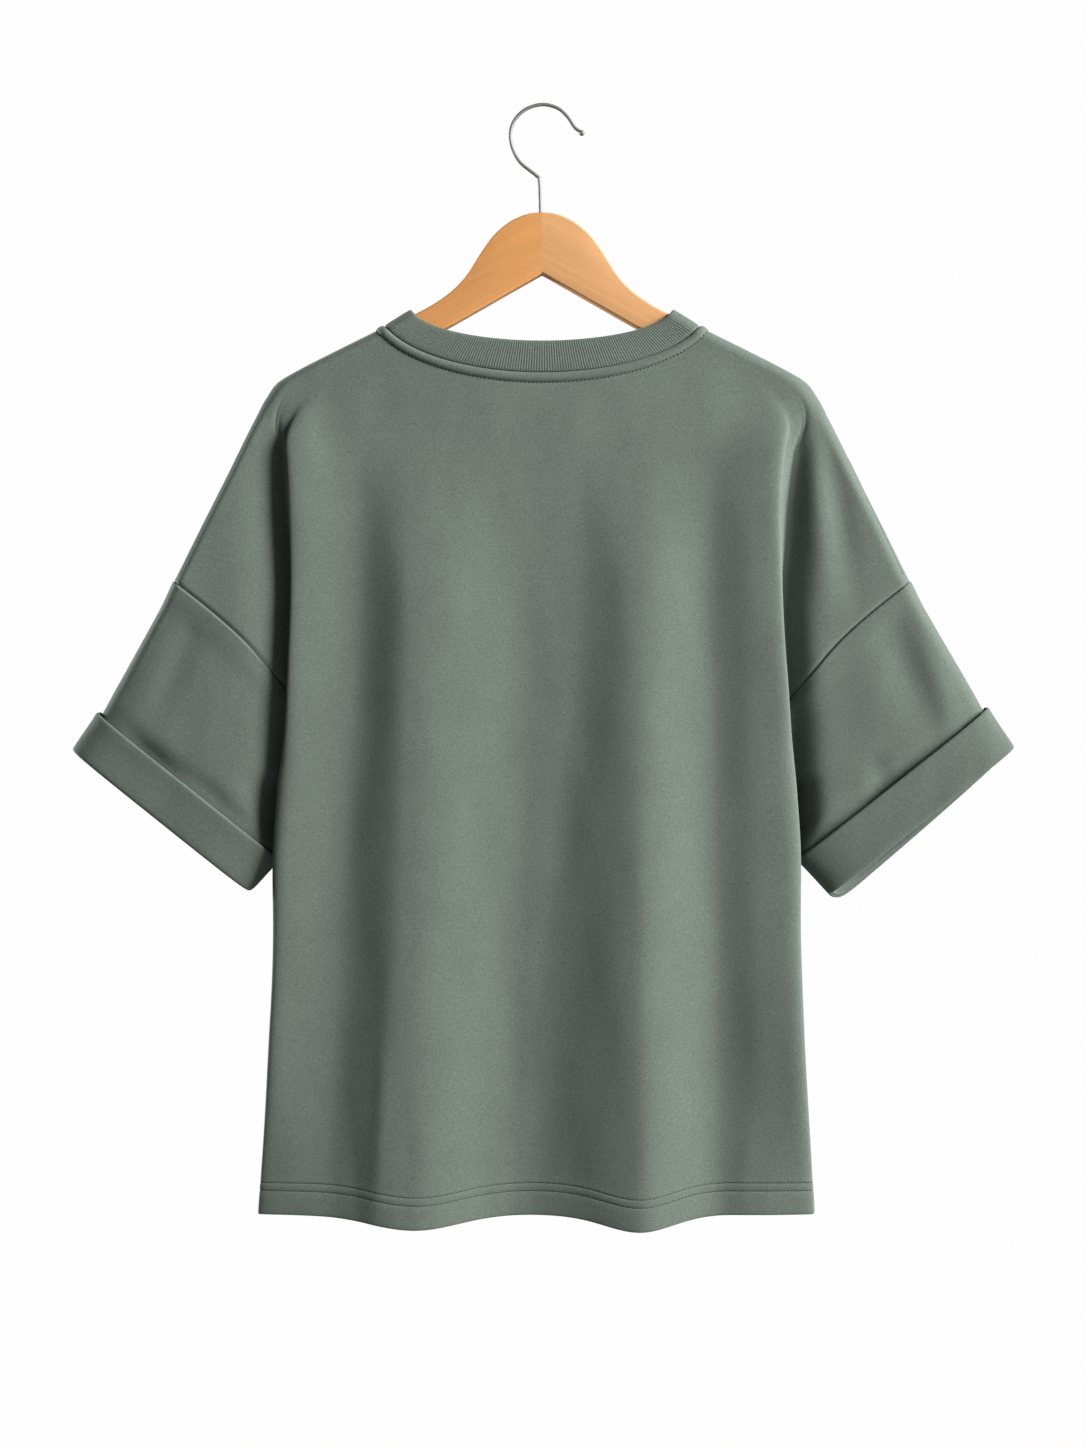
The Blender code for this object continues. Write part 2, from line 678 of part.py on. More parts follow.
def wood_edges(x):
    """Upper and lower z of the arm at x, with its round nose."""
    under = [(px, pz - seat) for (px, pz), seat in zip(SHOULDER_LINE, WOOD_SEATS)]
    top = np.array(list(WOOD_TOP) + under, float)
    low = np.array([(0.15, WOOD_NOTCH_Z)] + list(WOOD_LOWER), float)
    upper = float(np.interp(x, top[:, 0], top[:, 1]))
    lower = float(np.interp(x, low[:, 0], low[:, 1]))
    beyond = x - WOOD_END_X
    if beyond > 0:
        half = math.sqrt(max(WOOD_END_RADIUS**2 - beyond**2, 0.0))
        upper, lower = min(upper, WOOD_END_Z + half), max(lower, WOOD_END_Z - half)
    return upper, lower


def make_arm(side):
    stations = [x for x, _ in WOOD_TOP] + [x for x, _ in SHOULDER_LINE[:2]] + [WOOD_NOSE_START_X]
    stations += [WOOD_END_X + WOOD_END_RADIUS * math.sin(math.radians(a)) for a in WOOD_NOSE_ANGLES]
    rings = []
    for x in stations:
        top, bottom = wood_edges(x)
        beyond = max(x - WOOD_END_X, 0.0) / WOOD_END_RADIUS
        thick = np.interp(x, (WOOD_TOP[-1][0], SHOULDER_LINE[2][0]), (WOOD_THICK, WOOD_END_THICK))
        thin = thick / 2 - WOOD_EDGE * (1 - math.sqrt(1 - beyond**2)) * WOOD_NOSE_THINNING
        edge = min(WOOD_EDGE, (top - bottom) / 2 - WOOD_LEAST_FLAT, thin - 8 * WOOD_LEAST_FLAT)
        rings.append(rounded_section(side * x, top, bottom, thin, edge))
    name = "hanger_arm_left" if side < 0 else "hanger_arm_right"
    capped_loft(name, rings, "wood", turned=side > 0)


def smooth_route(route, steps):
    """Points on a smooth curve through the route's points."""
    ends = np.array(route, float)
    padded = np.concatenate([[2 * ends[0] - ends[1]], ends, [2 * ends[-1] - ends[-2]]])
    points = []
    for k in range(1, len(ends)):
        a, b, c, d = padded[k - 1 : k + 3]
        points += [between(a, b, c, d, t) for t in np.arange(steps) / steps]
    points.append(ends[-1])
    return np.array(points)


def make_hook():
    """The wire, bent in one plane, with a ball formed on its tip."""
    path = smooth_route(HOOK_ROUTE, 4)
    tip = path[-1]
    heading = (path[-1] - path[-2]) / np.linalg.norm(path[-1] - path[-2])
    centres, radii = list(path), [WIRE_RADIUS] * len(path)
    start = -math.sqrt(BALL_RADIUS**2 - WIRE_RADIUS**2)
    for angle in BALL_ANGLES:
        reach = BALL_RADIUS * math.sin(math.radians(angle))
        centres.append(tip + heading * (reach - start + BALL_STEP))
        radii.append(BALL_RADIUS * math.cos(math.radians(angle)))
    centres = np.array(centres)
    ahead = np.gradient(centres, axis=0)
    ahead /= np.linalg.norm(ahead, axis=1)[:, None]
    rings = []
    for (x, z), (dx, dz), radius in zip(centres, ahead, radii):
        angles = 2 * math.pi * np.arange(WIRE_SIDES) / WIRE_SIDES
        sideways, depth = radius * np.cos(angles), radius * np.sin(angles)
        rings.append(np.stack([x - dz * sideways, depth, z + dx * sideways], axis=1))
    capped_loft("hanger_hook", rings, "chrome")


def clear_scene():
    for old in list(bpy.data.objects):
        bpy.data.objects.remove(old, do_unlink=True)


def make_materials():
    for name, (colour, roughness, metallic) in MATERIALS.items():
        material = bpy.data.materials.new(name)
        material.use_nodes = True
        shader = material.node_tree.nodes["Principled BSDF"]
        shader.inputs["Base Color"].default_value = (*colour, 1.0)
        shader.inputs["Roughness"].default_value = roughness
        shader.inputs["Metallic"].default_value = metallic


def main():
    clear_scene()
    make_materials()
    back = make_panel("back_panel", -1, BACK_NECK, BACK_RIDGES)
    front = make_panel("front_panel", 1, FRONT_NECK, FRONT_RIDGES)
    for side in (-1, 1):
        shares = make_sleeve(side, back, front)
        make_cuff(side, shares)
        make_arm(side)
    make_neckband(back, front)
    make_hook()


main()
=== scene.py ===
"""The looks of a boxy short-sleeved top on a flat wooden hanger, seen from its back.

The back faces -Y, and the origin is the inner crown of the hook. Sizes are in millimetres, and MM turns
them into metres when a mesh is made. Each cloth piece is a thin shell on the form of its solid.
"""

import math

import bpy
import numpy as np
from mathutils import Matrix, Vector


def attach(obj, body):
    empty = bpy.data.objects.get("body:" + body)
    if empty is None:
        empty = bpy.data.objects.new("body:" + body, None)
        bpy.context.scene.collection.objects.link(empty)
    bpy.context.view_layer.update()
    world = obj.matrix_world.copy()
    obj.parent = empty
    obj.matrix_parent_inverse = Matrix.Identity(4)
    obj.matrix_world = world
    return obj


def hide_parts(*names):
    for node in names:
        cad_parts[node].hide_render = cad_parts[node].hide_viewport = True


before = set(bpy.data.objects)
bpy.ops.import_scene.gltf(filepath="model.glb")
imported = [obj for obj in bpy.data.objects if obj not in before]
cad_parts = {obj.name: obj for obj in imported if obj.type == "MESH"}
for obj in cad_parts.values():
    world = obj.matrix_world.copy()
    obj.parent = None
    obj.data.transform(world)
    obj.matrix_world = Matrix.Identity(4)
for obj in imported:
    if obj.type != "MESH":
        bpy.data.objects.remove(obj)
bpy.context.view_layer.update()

MM = 0.001
# The sign of x on each side, as seen from the back
SIDES = {-1: "left", 1: "right"}

# Cloth
WALL = 1.5
HEM_WALL, HEM_EDGE_WALL = 2.6, 2.0
SEAM_GAP = 0.3
SEAM_SINK, SEAM_SINK_RUN = 1.1, 2.6

# Neckline: ellipses round one centre height, with the band 27 mm deep
NECK_Z = -170.0
NECK_POINT_X = 133.5
BACK_NECK = {"half_width": 140.0, "drop": 58.0}
FRONT_NECK = {"half_width": 135.1, "drop": 115.0}
BAND_DEPTH = 27.0
BAND_TOP_X = 110.8
BAND_END_Z = -173.0
BAND_TOP_WIDE = {"back": 111.4, "front": 110.9}
BAND_TOP_DEPTH = 0.92
BODY_MIDDLE = (0.0, 0.0, -400.0)
BAND_PROFILE = (
    # share of the band's depth, height over the seam's base
    (0, 0.3), (0.02, 0.62), (0.05, 0.88), (0.12, 1.05), (0.3, 1.12), (0.55, 1.12), (0.78, 1.1),
    (0.9, 1.02), (0.955, 0.82), (0.985, 0.45), (1, -0.05), (0.995, -0.7), (0.97, -1.25),
    (0.9, -1.55), (0.5, -1.75), (0.12, -2.4), (-0.1, -2.6), (-0.16, -2.3), (-0.14, -1.85),
    (-0.03, -1.8), (0, -1.2),
)
WALE_PITCH = 2.3
WALE_HEIGHT = 0.14
BAND_COLUMNS_A_WALE = 6

# The strip sewn round the neck under the band: a low roll
STRIP_PROFILE = (
    # distance from the neck seam, rise
    (0, -0.35), (0.25, 0.2), (0.6, 0.8), (1.1, 1.25), (2.2, 1.75), (3.6, 2), (5, 1.95), (6.3, 1.65),
    (7.2, 1.2), (7.8, 0.7), (8.2, 0.15), (8.6, -0.32), (9.2, -0.15), (10.4, 0),
)
STRIP_STITCH_ROW = 11

# Outer line of shoulder and sleeve top, from the neck point to the cuff
SHOULDER_LINE = (
    # x, z
    (133.5, -187.6), (176, -208.6), (208, -225), (222.5, -233.5), (234, -248), (243.5, -266),
    (269.5, -319), (292, -364), (311.5, -403.5), (374, -514), (470, -690),
)
SHOULDER_END_Z = -403.5
UNDERARM_Z = -573.0
UNDERARM_RADIUS = 8.0
ARMHOLE_SEAM = (
    # x, z
    (311.5, -403.5), (279, -429), (249, -456), (232, -475.5), (213, -499), (188, -535), (158, -573),
)

# How deep the hung cloth stands from the middle plane at each height
DEPTHS = (
    # z, body, shoulder and sleeve lobe, run of the rounded edge on the left and on the right
    (-187.6, 10.5, 9.5, 18, 20.5),
    (-232, 12.5, 9.5, 15, 20),
    (-256, 14, 10.5, 10, 14),
    (-300, 16.5, 15, 9, 12),
    (-400, 19, 21, 9, 12),
    (-573, 22, 23, 9, 21),
    (-942, 21, 23, 9, 24),
)

# The deep fold down each side of the body
SIDE_FOLDS = {
    -1: (
        # z, nose x, depth, valley x (the side seam, below the underarm)
        (-250, 218, 14.5, 224),
        (-290, 215.5, 20.5, 221),
        (-327, 213.4, 23, 219),
        (-392, 210.3, 25.5, 212),
        (-465, 211.6, 27.5, 202),
        (-520, 213.5, 28, 182),
        (-573, 217, 28, 158),
        (-640, 222.3, 28, 170),
        (-700, 223.6, 27, 188),
        (-800, 228.5, 25, 213),
        (-880, 234, 21.5, 229),
        (-942, 238.5, 17, 238),
    ),
    1: (
        (-250, 215, 15, 222),
        (-290, 206, 20, 215),
        (-327, 202, 22.5, 210),
        (-392, 201.4, 25, 205),
        (-465, 204.6, 27, 197),
        (-520, 208, 27, 180),
        (-573, 210.6, 27, 158),
        (-640, 215, 27, 168),
        (-700, 216.8, 27, 184),
        (-800, 221, 28, 206),
        (-880, 226, 22.5, 221),
        (-942, 230, 18, 229.5),
    ),
}
# Inside the nose: where the fold leaves the body, and where it stands furthest out
FOLD_LEAD = {-1: 50.0, 1: 60.0}
FOLD_FRONT = {-1: 4.0, 1: 8.0}
# How far out the nose stands, as a share of its fold, above and below these heights
NOSE_SHARES = (0.45, 0.72)
NOSE_SHARP_Z = (-290.0, -400.0)
FOLD_START_Z, FOLD_FULL_Z = -236.0, -298.0
TURN_SHARES = (
    # z, how far the fold turns back under its nose
    (-490, 0.5), (-530, 0.5), (-551, 0.325), (-572, 0.15), (-596, 0.15), (-620, 0.15),
    (-675, 0.375), (-730, 0.6), (-790, 0.6),
)
LOBE_WALL = {
    # distance out from the fold, share of the lobe's height: the lobe's wall beside the fold
    -1: ((0, 0), (6, 0.18), (13, 0.46), (21, 0.7), (31, 0.88), (42, 0.97), (54, 1)),
    1: ((0, 0), (4, 0.07), (10, 0.42), (15, 0.68), (20, 0.87), (26, 0.97), (32, 1)),
}

# Broad upright ridges of the body, which also pull the hem down
BACK_RIDGES = (
    # x at the top, x at the hem, z where it starts, z where it is full, half width, rise
    (-93, -106, -320, -640, 50, 15),
    (86, 81, -320, -560, 40, 17),
)
FRONT_RIDGES = (
    (-112, -96, -350, -660, 46, 13),
    (-20, -8, -430, -760, 34, 7),
    (98, 104, -340, -600, 44, 14),
)
# The flanks of the back's ridges, from left to right: the depth climbs or falls across each one
FLANK_Z = (-430.0, -768.0, -938.0)
BACK_FLANKS = (
    # middle x, half width and climb at each of the three heights
    ((-134, 21, 7.2), (-146, 29, 10), (-152, 31, 10)),
    ((-55, 52, -13), (-63, 46, -15.5), (-64, 45, -16)),
    ((53, 23, 4.9), (40, 48, 14.5), (38, 52, 15)),
    ((114, 33, -11), (115, 36, -16), (117, 37, -16.5)),
    ((163, 18, 0.5), (166, 20, 2.2), (171, 23, 2.6)),
    ((186, 20, -3), (189, 20, -1.4), (191, 20, -0.6)),
)
FLANKS_FROM, FLANKS_FULL = -270.0, -430.0
FLANKS_REACH = 213.0
HEM_Z = -938.0
HEM_DIP = 0.69
HEM_ROWS = (
    # distance over the hem's edge, rise of the outer face
    (29.6, 0), (28.4, 0.1), (27.7, -0.1), (27.2, -0.42), (26.7, -0.05), (25.6, 0.22), (23.8, 0.26),
    (22, 0.22), (20.9, -0.05), (20.4, -0.42), (19.9, -0.05), (18.9, 0.2), (14, 0.22), (7, 0.22),
    (2.4, 0.2), (1, 0.02), (0.3, -0.35), (0, -0.95),
)
HEM_STITCH_ROWS = (3, 9)

# Sleeve ends: the open edge of each turned-up cuff
CUFF_CORNERS = {
    # upper x, z, lower x, z
    -1: (398, -546.7, 247.5, -667),
    1: (400.5, -544.5, 243.5, -669),
}
CUFF_DEPTH = {-1: 38.5, 1: 41.0}
FAR_EDGE = {-1: 1.0, 1: 14.0}
CUFF_HALF_DEPTH = 21.0
CUFF_FLARE = 2.7
CUFF_WALL = 2.2
CUFF_STAND = 1.2
TUBE_POWER = 4.0

# Hanger
WOOD_THICK = 12.0
WOOD_EDGE = 2.0
WOOD_END_THICK = 10.0
WOOD_SEATS = (2.6, 2.9, 4.2)
WOOD_TOP = (
    # x, z of the upper edge, from the mitre out
    (0.02, -90.9), (11.5, -92.3), (19.5, -95), (28.5, -99.8), (36, -105.8), (42, -111.8),
    (48, -119.8), (53, -127.2), (57.5, -134.6), (61.5, -141), (67, -148.2), (73, -154.6),
    (79.5, -160.3), (87.5, -166), (95.5, -171), (103.5, -175.3),
)
WOOD_NOTCH_Z = -143.2
WOOD_LOWER = ((77.4, -187.3), (160.0, -229.0), (206.0, -252.0))
WOOD_END_X, WOOD_END_Z, WOOD_END_RADIUS = 206.0, -240.5, 11.5

WIRE_RADIUS = 1.5
BALL_RADIUS = 2.45
HOOK_ROUTE = (
    # x, z of the wire's middle, from the wood up and round to the ball
    (-1.4, -90.55), (-2.4, -63.4), (-5.2, -58.6), (-19.5, -46.4), (-26.7, -30), (-24.8, -14.6),
    (-14.8, -3.2), (-0.4, 1.5), (12.6, -1.2), (21.2, -8.3), (27.6, -17.6), (32.2, -21.4),
)

# Mesh steps
BODY_COLUMNS, FOLD_COLUMNS, LOBE_COLUMNS = 44, 40, 24
UPPER_ROWS, ARMHOLE_ROWS, LOWER_ROWS = 54, 46, 66
SLEEVE_RINGS = 40
WOOD_STATIONS = 80
WIRE_STEPS, WIRE_SIDES = 12, 24
NOSE_ANGLES, BALL_ANGLES = range(8, 86, 6), range(-38, 86, 9)
STITCH_SIDES = 5

# Places on a panel's section, counted in guide points out from the centre
FOLD_LEAD_S, TURN_S, VALLEY_S, EDGE_S = 3, 6, 7, 11
# Their shares of the half width over the fold's start, and the outer ones' shares of the sleeve's side
PLAIN_SHARES = (0, 0.27, 0.53, 0.74, 0.80, 0.85, 0.89, 0.92, 0.945, 0.965, 0.985, 1)
LOBE_SHARES = (0.12, 0.45, 0.8)
LOBE_BLEND = (0.2, 0.9)
TURN_DEPTH = 0.45
UNDERARM_RISE = 80
RISE_FADE = (4.6, 3.2)
CREASE_FADE = (6.9, 5.6)
SLEEVE_SIDE = (6.5, 7.5)
# How near the outline, an armhole seam (both in mm) or the neck strip (in rows) the creases fade out
EDGE_EASE, SEAM_EASE, STRIP_EASE_ROWS = 16, 14, 6

# Creases, given one by one: soft ridges (raised) and troughs (sunk) that fade out at both ends
BACK_CREASES = (
    # x, z, angle from upright, length, half width, bend, rise
    (-137, -860, -3, 330, 6, 2, 0.9),
    (-157, -915, 2, 120, 5, 0, -0.5),
    (231, -345, 4, 260, 9.5, 1, 2.2),
    (250, -350, 9.5, 220, 10, 1, -2.1),
    (-196, -290, 8, 100, 10, 0, 0.7),
    (-40, -905, 4, 120, 9, 2, 0.5),
    (172, -890, -3, 130, 7, 0, 0.6),
)
FRONT_CREASES = (
    (-176, -420, 14, 220, 13, 6, -2.4),
    (150, -330, -24, 170, 12, -8, -1.8),
    (176, -700, 4, 360, 10, 3, 1.6),
    (-60, -820, 2, 220, 9, -3, 1.1),
    (52, -600, -3, 300, 14, 4, -2),
    (-150, -850, -3, 200, 6, 0, 0.8),
    (-30, -330, 70, 150, 16, 10, -1),
    (238, -350, 12, 180, 11, 3, 2.2),
    (-240, -345, -12, 190, 10, -2, 2),
)


def smoothstep(value, low, high):
    t = np.clip((value - low) / (high - low), 0, 1)
    return t * t * (3 - 2 * t)


def smooth_curve(at, stations, values):
    """A smooth curve through values at rising stations."""
    stations, values = np.asarray(stations, float), np.asarray(values, float)
    slopes = np.gradient(values, stations)
    h = np.clip(np.asarray(at, float), stations[0], stations[-1])
    i = np.clip(np.searchsorted(stations, h) - 1, 0, len(stations) - 2)
    span = stations[i + 1] - stations[i]
    t = (h - stations[i]) / span
    rise = values[i] * (1 + 2 * t) * (1 - t) ** 2 + slopes[i] * span * t * (1 - t) ** 2
    return rise + values[i + 1] * t * t * (3 - 2 * t) - slopes[i + 1] * span * t * t * (1 - t)


def between(a, b, c, d, t):
    """A share t of the way from b to c, on the smooth curve that also goes through a and d."""
    bend = (2 * a - 5 * b + 4 * c - d) * t * t + (3 * b - a - 3 * c + d) * t**3
    return 0.5 * (2 * b + (c - a) * t + bend)


def unit(vectors):
    return vectors / np.maximum(np.linalg.norm(vectors, axis=-1, keepdims=True), 1e-12)


def run_length(points):
    """The length along a line up to each of its points."""
    return np.concatenate([[0], np.cumsum(np.linalg.norm(np.diff(points, axis=0), axis=1))])


def on_line(at, run, values):
    """A line's values at the lengths asked for."""
    return np.stack([np.interp(at, run, column) for column in values.T], axis=-1)


def along(z, table, column):
    """A table's column at height z."""
    rows = np.array(table, float)
    return smooth_curve(-z, -rows[:, 0], rows[:, column])


def dense_line(line):
    """Closely spaced heights (rising) and x on the smooth curve through a line of (x, z) points."""
    points = np.array(line, float)
    depth = np.linspace(-points[0, 1], -points[-1, 1], 1200)
    return depth, smooth_curve(depth, -points[:, 1], points[:, 0])


SHOULDER_CURVE = dense_line(SHOULDER_LINE)
ARMHOLE_CURVE = dense_line(ARMHOLE_SEAM)


def edge_x(z):
    return np.interp(-z, *SHOULDER_CURVE)


def ridge_rise(x, z, ridges):
    rise = np.zeros_like(x)
    for top_x, hem_x, start, full, width, height in ridges:
        middle = np.interp(-z, (-start, -HEM_Z), (top_x, hem_x))
        grown = smoothstep(z, start, full)
        rise += height * grown * np.exp(-(((x - middle) / width) ** 2))
    return rise


def flank_rise(x, z, flanks):
    """The sum of the flanks' climbs, with what is left over at the right side taken back evenly."""
    rise, whole = np.zeros_like(x), np.zeros_like(x)
    for stations in flanks:
        middle, width, climb = (np.interp(-z, np.negative(FLANK_Z), column) for column in zip(*stations))
        rise += climb * smoothstep((x - middle) / width, -1, 1)
        whole += climb
    rise -= whole * np.clip((x + FLANKS_REACH) / (2 * FLANKS_REACH), 0, 1)
    return rise * smoothstep(z, FLANKS_FROM, FLANKS_FULL)


def body_rise(x, z, form):
    return flank_rise(x, z, form["flanks"]) if form["flanks"] else ridge_rise(x, z, form["ridges"])


def hem_z(x, form):
    at_hem = np.full_like(x, HEM_Z)
    return at_hem - HEM_DIP * np.maximum(ridge_rise(x, at_hem, form["ridges"]), 0.0)


def valley_floor(z):
    """Depth at the bottom of the fold: nothing below the underarm, where the panels meet."""
    above = np.clip(z - UNDERARM_Z, 0.0, UNDERARM_RADIUS) / UNDERARM_RADIUS
    return UNDERARM_RADIUS * np.sqrt(1 - (1 - above) ** 2)


def wall_depth(side, x, z, floor, top):
    """Depth of the cloth that climbs out of the fold towards the sleeve."""
    nose, valley = along(z, SIDE_FOLDS[side], 1), along(z, SIDE_FOLDS[side], 3)
    away, share = np.array(LOBE_WALL[side]).T
    return floor + (top - floor) * smooth_curve(x - np.maximum(nose, valley), away, share)


def section_keys(side, z):
    """Twelve guide points (x, depth) across one half of a panel at height z."""
    edge = edge_x(z)
    body, lobe = along(z, DEPTHS, 1), along(z, DEPTHS, 2)
    nose, depth, valley = (along(z, SIDE_FOLDS[side], column) for column in (1, 2, 3))
    floor = valley_floor(z)
    turn = valley + along(z, TURN_SHARES, 1) * (nose - valley)
    start = np.maximum(nose, valley)
    reach = edge - start
    wall = [(start + share * reach, lobe) for share in LOBE_SHARES]
    sharp = smoothstep(z, *NOSE_SHARP_Z)
    blunt, keen = NOSE_SHARES
    nose_share = blunt + (keen - blunt) * sharp
    raised = UNDERARM_RADIUS * smoothstep(z, UNDERARM_Z, UNDERARM_Z + UNDERARM_RISE)
    folded = (
        (0 * z, body),
        ((nose - FOLD_LEAD[side]) / 3, body),
        ((nose - FOLD_LEAD[side]) * 2 / 3, body),
        (nose - FOLD_LEAD[side], body),
        (nose - FOLD_FRONT[side], depth),
        (nose, raised + nose_share * (depth - raised)),
        (turn, floor + TURN_DEPTH * nose_share * (depth - floor)),
        (valley, floor),
        *wall,
        (edge, lobe),
    )
    fold = smoothstep(z, FOLD_START_Z, FOLD_FULL_Z)
    keys = []
    for share, (x, y) in zip(PLAIN_SHARES, folded):
        flat_y = body + (lobe - body) * smoothstep(share, *LOBE_BLEND)
        keys.append((edge * share * (1 - fold) + x * fold, flat_y * (1 - fold) + y * fold))
    return np.array(keys)


def section(side, s, z, form):
    """Points of a panel's outer face at height z: s counts the guide points out from the centre."""
    s, z = np.broadcast_arrays(s, z)
    keys = section_keys(side, z)
    count = len(keys)
    i = np.clip(np.floor(s).astype(int), 0, count - 2)
    t = s - i

    def picked(index):
        return np.take_along_axis(keys, np.clip(index, 0, count - 1)[None, None], 0)[0]

    # The guide points mirror at the centre and, below the underarm, at the side seam
    before, after, (turn_x, turn_y) = picked(np.abs(i - 1)), picked(i + 2), picked(0 * i + TURN_S)
    before[0] = np.where(i == 0, -before[0], before[0])
    after = np.where((z <= UNDERARM_Z) & (i == TURN_S), [turn_x, -turn_y], after)
    x, depth = between(before, picked(i), picked(i + 1), after, t)
    wall = wall_depth(side, x, z, valley_floor(z), along(z, DEPTHS, 2))
    fold = smoothstep(z, FOLD_START_Z, FOLD_FULL_Z)
    depth = np.where(s > VALLEY_S, wall * fold + depth * (1 - fold), depth)
    depth = depth + smoothstep(s, *RISE_FADE) * body_rise(side * x, z, form)
    near = np.clip((edge_x(z) - x) / along(z, DEPTHS, 3 if side < 0 else 4), 0, 1)
    return side * x, depth * np.sqrt(1 - (1 - near) ** 2)


def solve(low, high, test):
    """Where test turns from negative to positive between two arrays."""
    for _ in range(40):
        middle = (low + high) / 2
        positive = test(middle) > 0
        low, high = np.where(positive, low, middle), np.where(positive, middle, high)
    return (low + high) / 2


def lobe_place(side, x, z, form):
    """Where between the valley and the edge a panel's section reaches x."""
    low, high = np.full_like(z, VALLEY_S), np.full_like(z, EDGE_S)
    return solve(low, high, lambda s: side * section(side, s, z, form)[0] - x)


def neck_row_z(x, neck, grown):
    wide, drop = neck["half_width"] + grown, neck["drop"] + grown
    return NECK_Z - drop * np.sqrt(np.clip(1 - (x / wide) ** 2, 0, 1))


def strip_end(neck, grown):
    """Where neck rows, so far grown, meet the shoulder line."""
    low, high = np.full_like(grown, NECK_POINT_X - 3), NECK_POINT_X + grown + 3
    depth, line = SHOULDER_CURVE
    x = solve(low, high, lambda x: neck_row_z(x, neck, grown) + np.interp(x, line, depth))
    return x, -np.interp(x, line, depth)


def half_panel(side, form):
    """Base points of one half, rows down and columns out, as (x, depth, z, ease, sink).

    ease fades creases out at seams, and sink is how far the cloth is drawn in beside the armhole seam.
    """
    body_s = np.linspace(0, FOLD_LEAD_S, BODY_COLUMNS + 1)
    main_s = np.concatenate([body_s, np.linspace(FOLD_LEAD_S, VALLEY_S, FOLD_COLUMNS + 1)[1:]])
    neck = form["neck"]
    lobe_q = np.sin(np.linspace(0, math.pi / 2, LOBE_COLUMNS + 1))[1:]
    strip = np.array([row[0] for row in STRIP_PROFILE])
    strip_x, strip_z = strip_end(neck, strip)
    falling = np.linspace(strip_z[-1], SHOULDER_END_Z, UPPER_ROWS + 1)[1:]
    end_z = np.concatenate([strip_z, falling])[:, None]
    end_x = np.concatenate([strip_x, edge_x(falling)])[:, None]
    curve = np.clip((end_z - SHOULDER_END_Z) / (strip_z[-1] - SHOULDER_END_Z), 0, 1)
    grown, neck_x, neck_z = (np.pad(v, (0, UPPER_ROWS), "edge")[:, None] for v in (strip, strip_x, strip_z))

    def row_z(x):
        share = np.clip(np.abs(x) / end_x, 0, 1)
        return end_z + curve * (neck_row_z(share * neck_x, neck, grown) - neck_z)

    lobe_s = VALLEY_S + (EDGE_S - VALLEY_S) * lobe_q
    s = np.tile(np.concatenate([main_s, lobe_s]), (len(end_z), 1))
    high = end_z + 0 * s
    z = solve(high - neck["drop"] - 30, high, lambda z: z - row_z(section(side, s, z, form)[0]))
    x, depth = section(side, s, z, form)
    from_edge = (edge_x(z) - np.abs(x)) / EDGE_EASE
    from_strip = np.concatenate([0 * strip, np.arange(1, UPPER_ROWS + 1) / STRIP_EASE_ROWS])[:, None]
    ease = smoothstep(from_edge, 0, 1) * smoothstep(from_strip, 0, 1)
    blocks = [np.stack([x, depth, z, ease, 0 * x], axis=2)]

    turn = (1 - np.cos(math.pi * np.arange(1, ARMHOLE_ROWS + 1) / ARMHOLE_ROWS)) / 2
    height = SHOULDER_END_Z + (UNDERARM_Z - SHOULDER_END_Z) * turn
    seam = np.interp(-height, *ARMHOLE_CURVE)
    ends = lobe_place(side, seam, height, form)
    ends[-1] = VALLEY_S
    lobe_s = VALLEY_S + (ends - VALLEY_S)[:, None] * lobe_q
    s = np.concatenate([np.tile(main_s, (ARMHOLE_ROWS, 1)), lobe_s], axis=1)
    z = height[:, None] + 0 * s
    x, depth = section(side, s, z, form)
    from_seam = (seam[:, None] - np.abs(x)) / SEAM_EASE
    outside = smoothstep(s, *SLEEVE_SIDE)
    ease = 1 - outside * (1 - smoothstep(from_seam, 0, 1))
    sink = outside * SEAM_SINK * np.exp(-((from_seam * SEAM_EASE / SEAM_SINK_RUN) ** 2))
    blocks.append(np.stack([x, depth, z, ease, sink], axis=2))

    bottom = hem_z(section(side, main_s, np.full_like(main_s, HEM_Z), form)[0], form)
    over = np.array([row[0] for row in HEM_ROWS])
    fall = (np.arange(1, LOWER_ROWS + 1) / (LOWER_ROWS + 1))[:, None]
    plain = UNDERARM_Z + fall * (bottom + over[0] - UNDERARM_Z)
    z = np.concatenate([plain, bottom + over[:, None]])
    s = np.tile(main_s, (len(z), 1))
    x, depth = section(side, s, z, form)
    ease = smoothstep(s, *CREASE_FADE)
    lower = np.full((len(z), s.shape[1] + LOBE_COLUMNS, 5), np.nan)
    lower[:, : s.shape[1]] = np.stack([x, depth, z, ease, 0 * x], axis=2)
    blocks.append(lower)
    return np.concatenate(blocks)


def crease_rise(x, z, creases):
    rise = np.zeros_like(x)
    for at_x, at_z, angle, length, width, bend, height in creases:
        lean = math.radians(angle)
        down = -(z - at_z) * math.cos(lean) + (x - at_x) * math.sin(lean)
        across = (x - at_x) * math.cos(lean) + (z - at_z) * math.sin(lean)
        t = np.clip(down / (length / 2), -1, 1)
        across = across - bend * (1 - t * t)
        rise += height * (1 - t * t) ** 2 * np.exp(-((across / width) ** 2))
    return rise


UNEVENNESS = (
    # wave length across, wave length down, phase, height
    (61, 243, 0.3, 0.16),
    (37, 187, 1.9, 0.08),
    (83, 131, 4.1, 0.12),
    (23, 94, 2.7, 0.03),
)


def uneven_rise(x, z):
    """Small slow waves, no two alike, that keep hung cloth from looking machined."""
    rise = np.zeros_like(x)
    for across, down, phase, height in UNEVENNESS:
        warp = 0.8 * np.sin(z / down * 1.7 + phase * 2)
        wave = np.sin(2 * math.pi * x / across + warp + phase)
        rise += height * wave * np.cos(2 * math.pi * z / down + phase)
    return rise


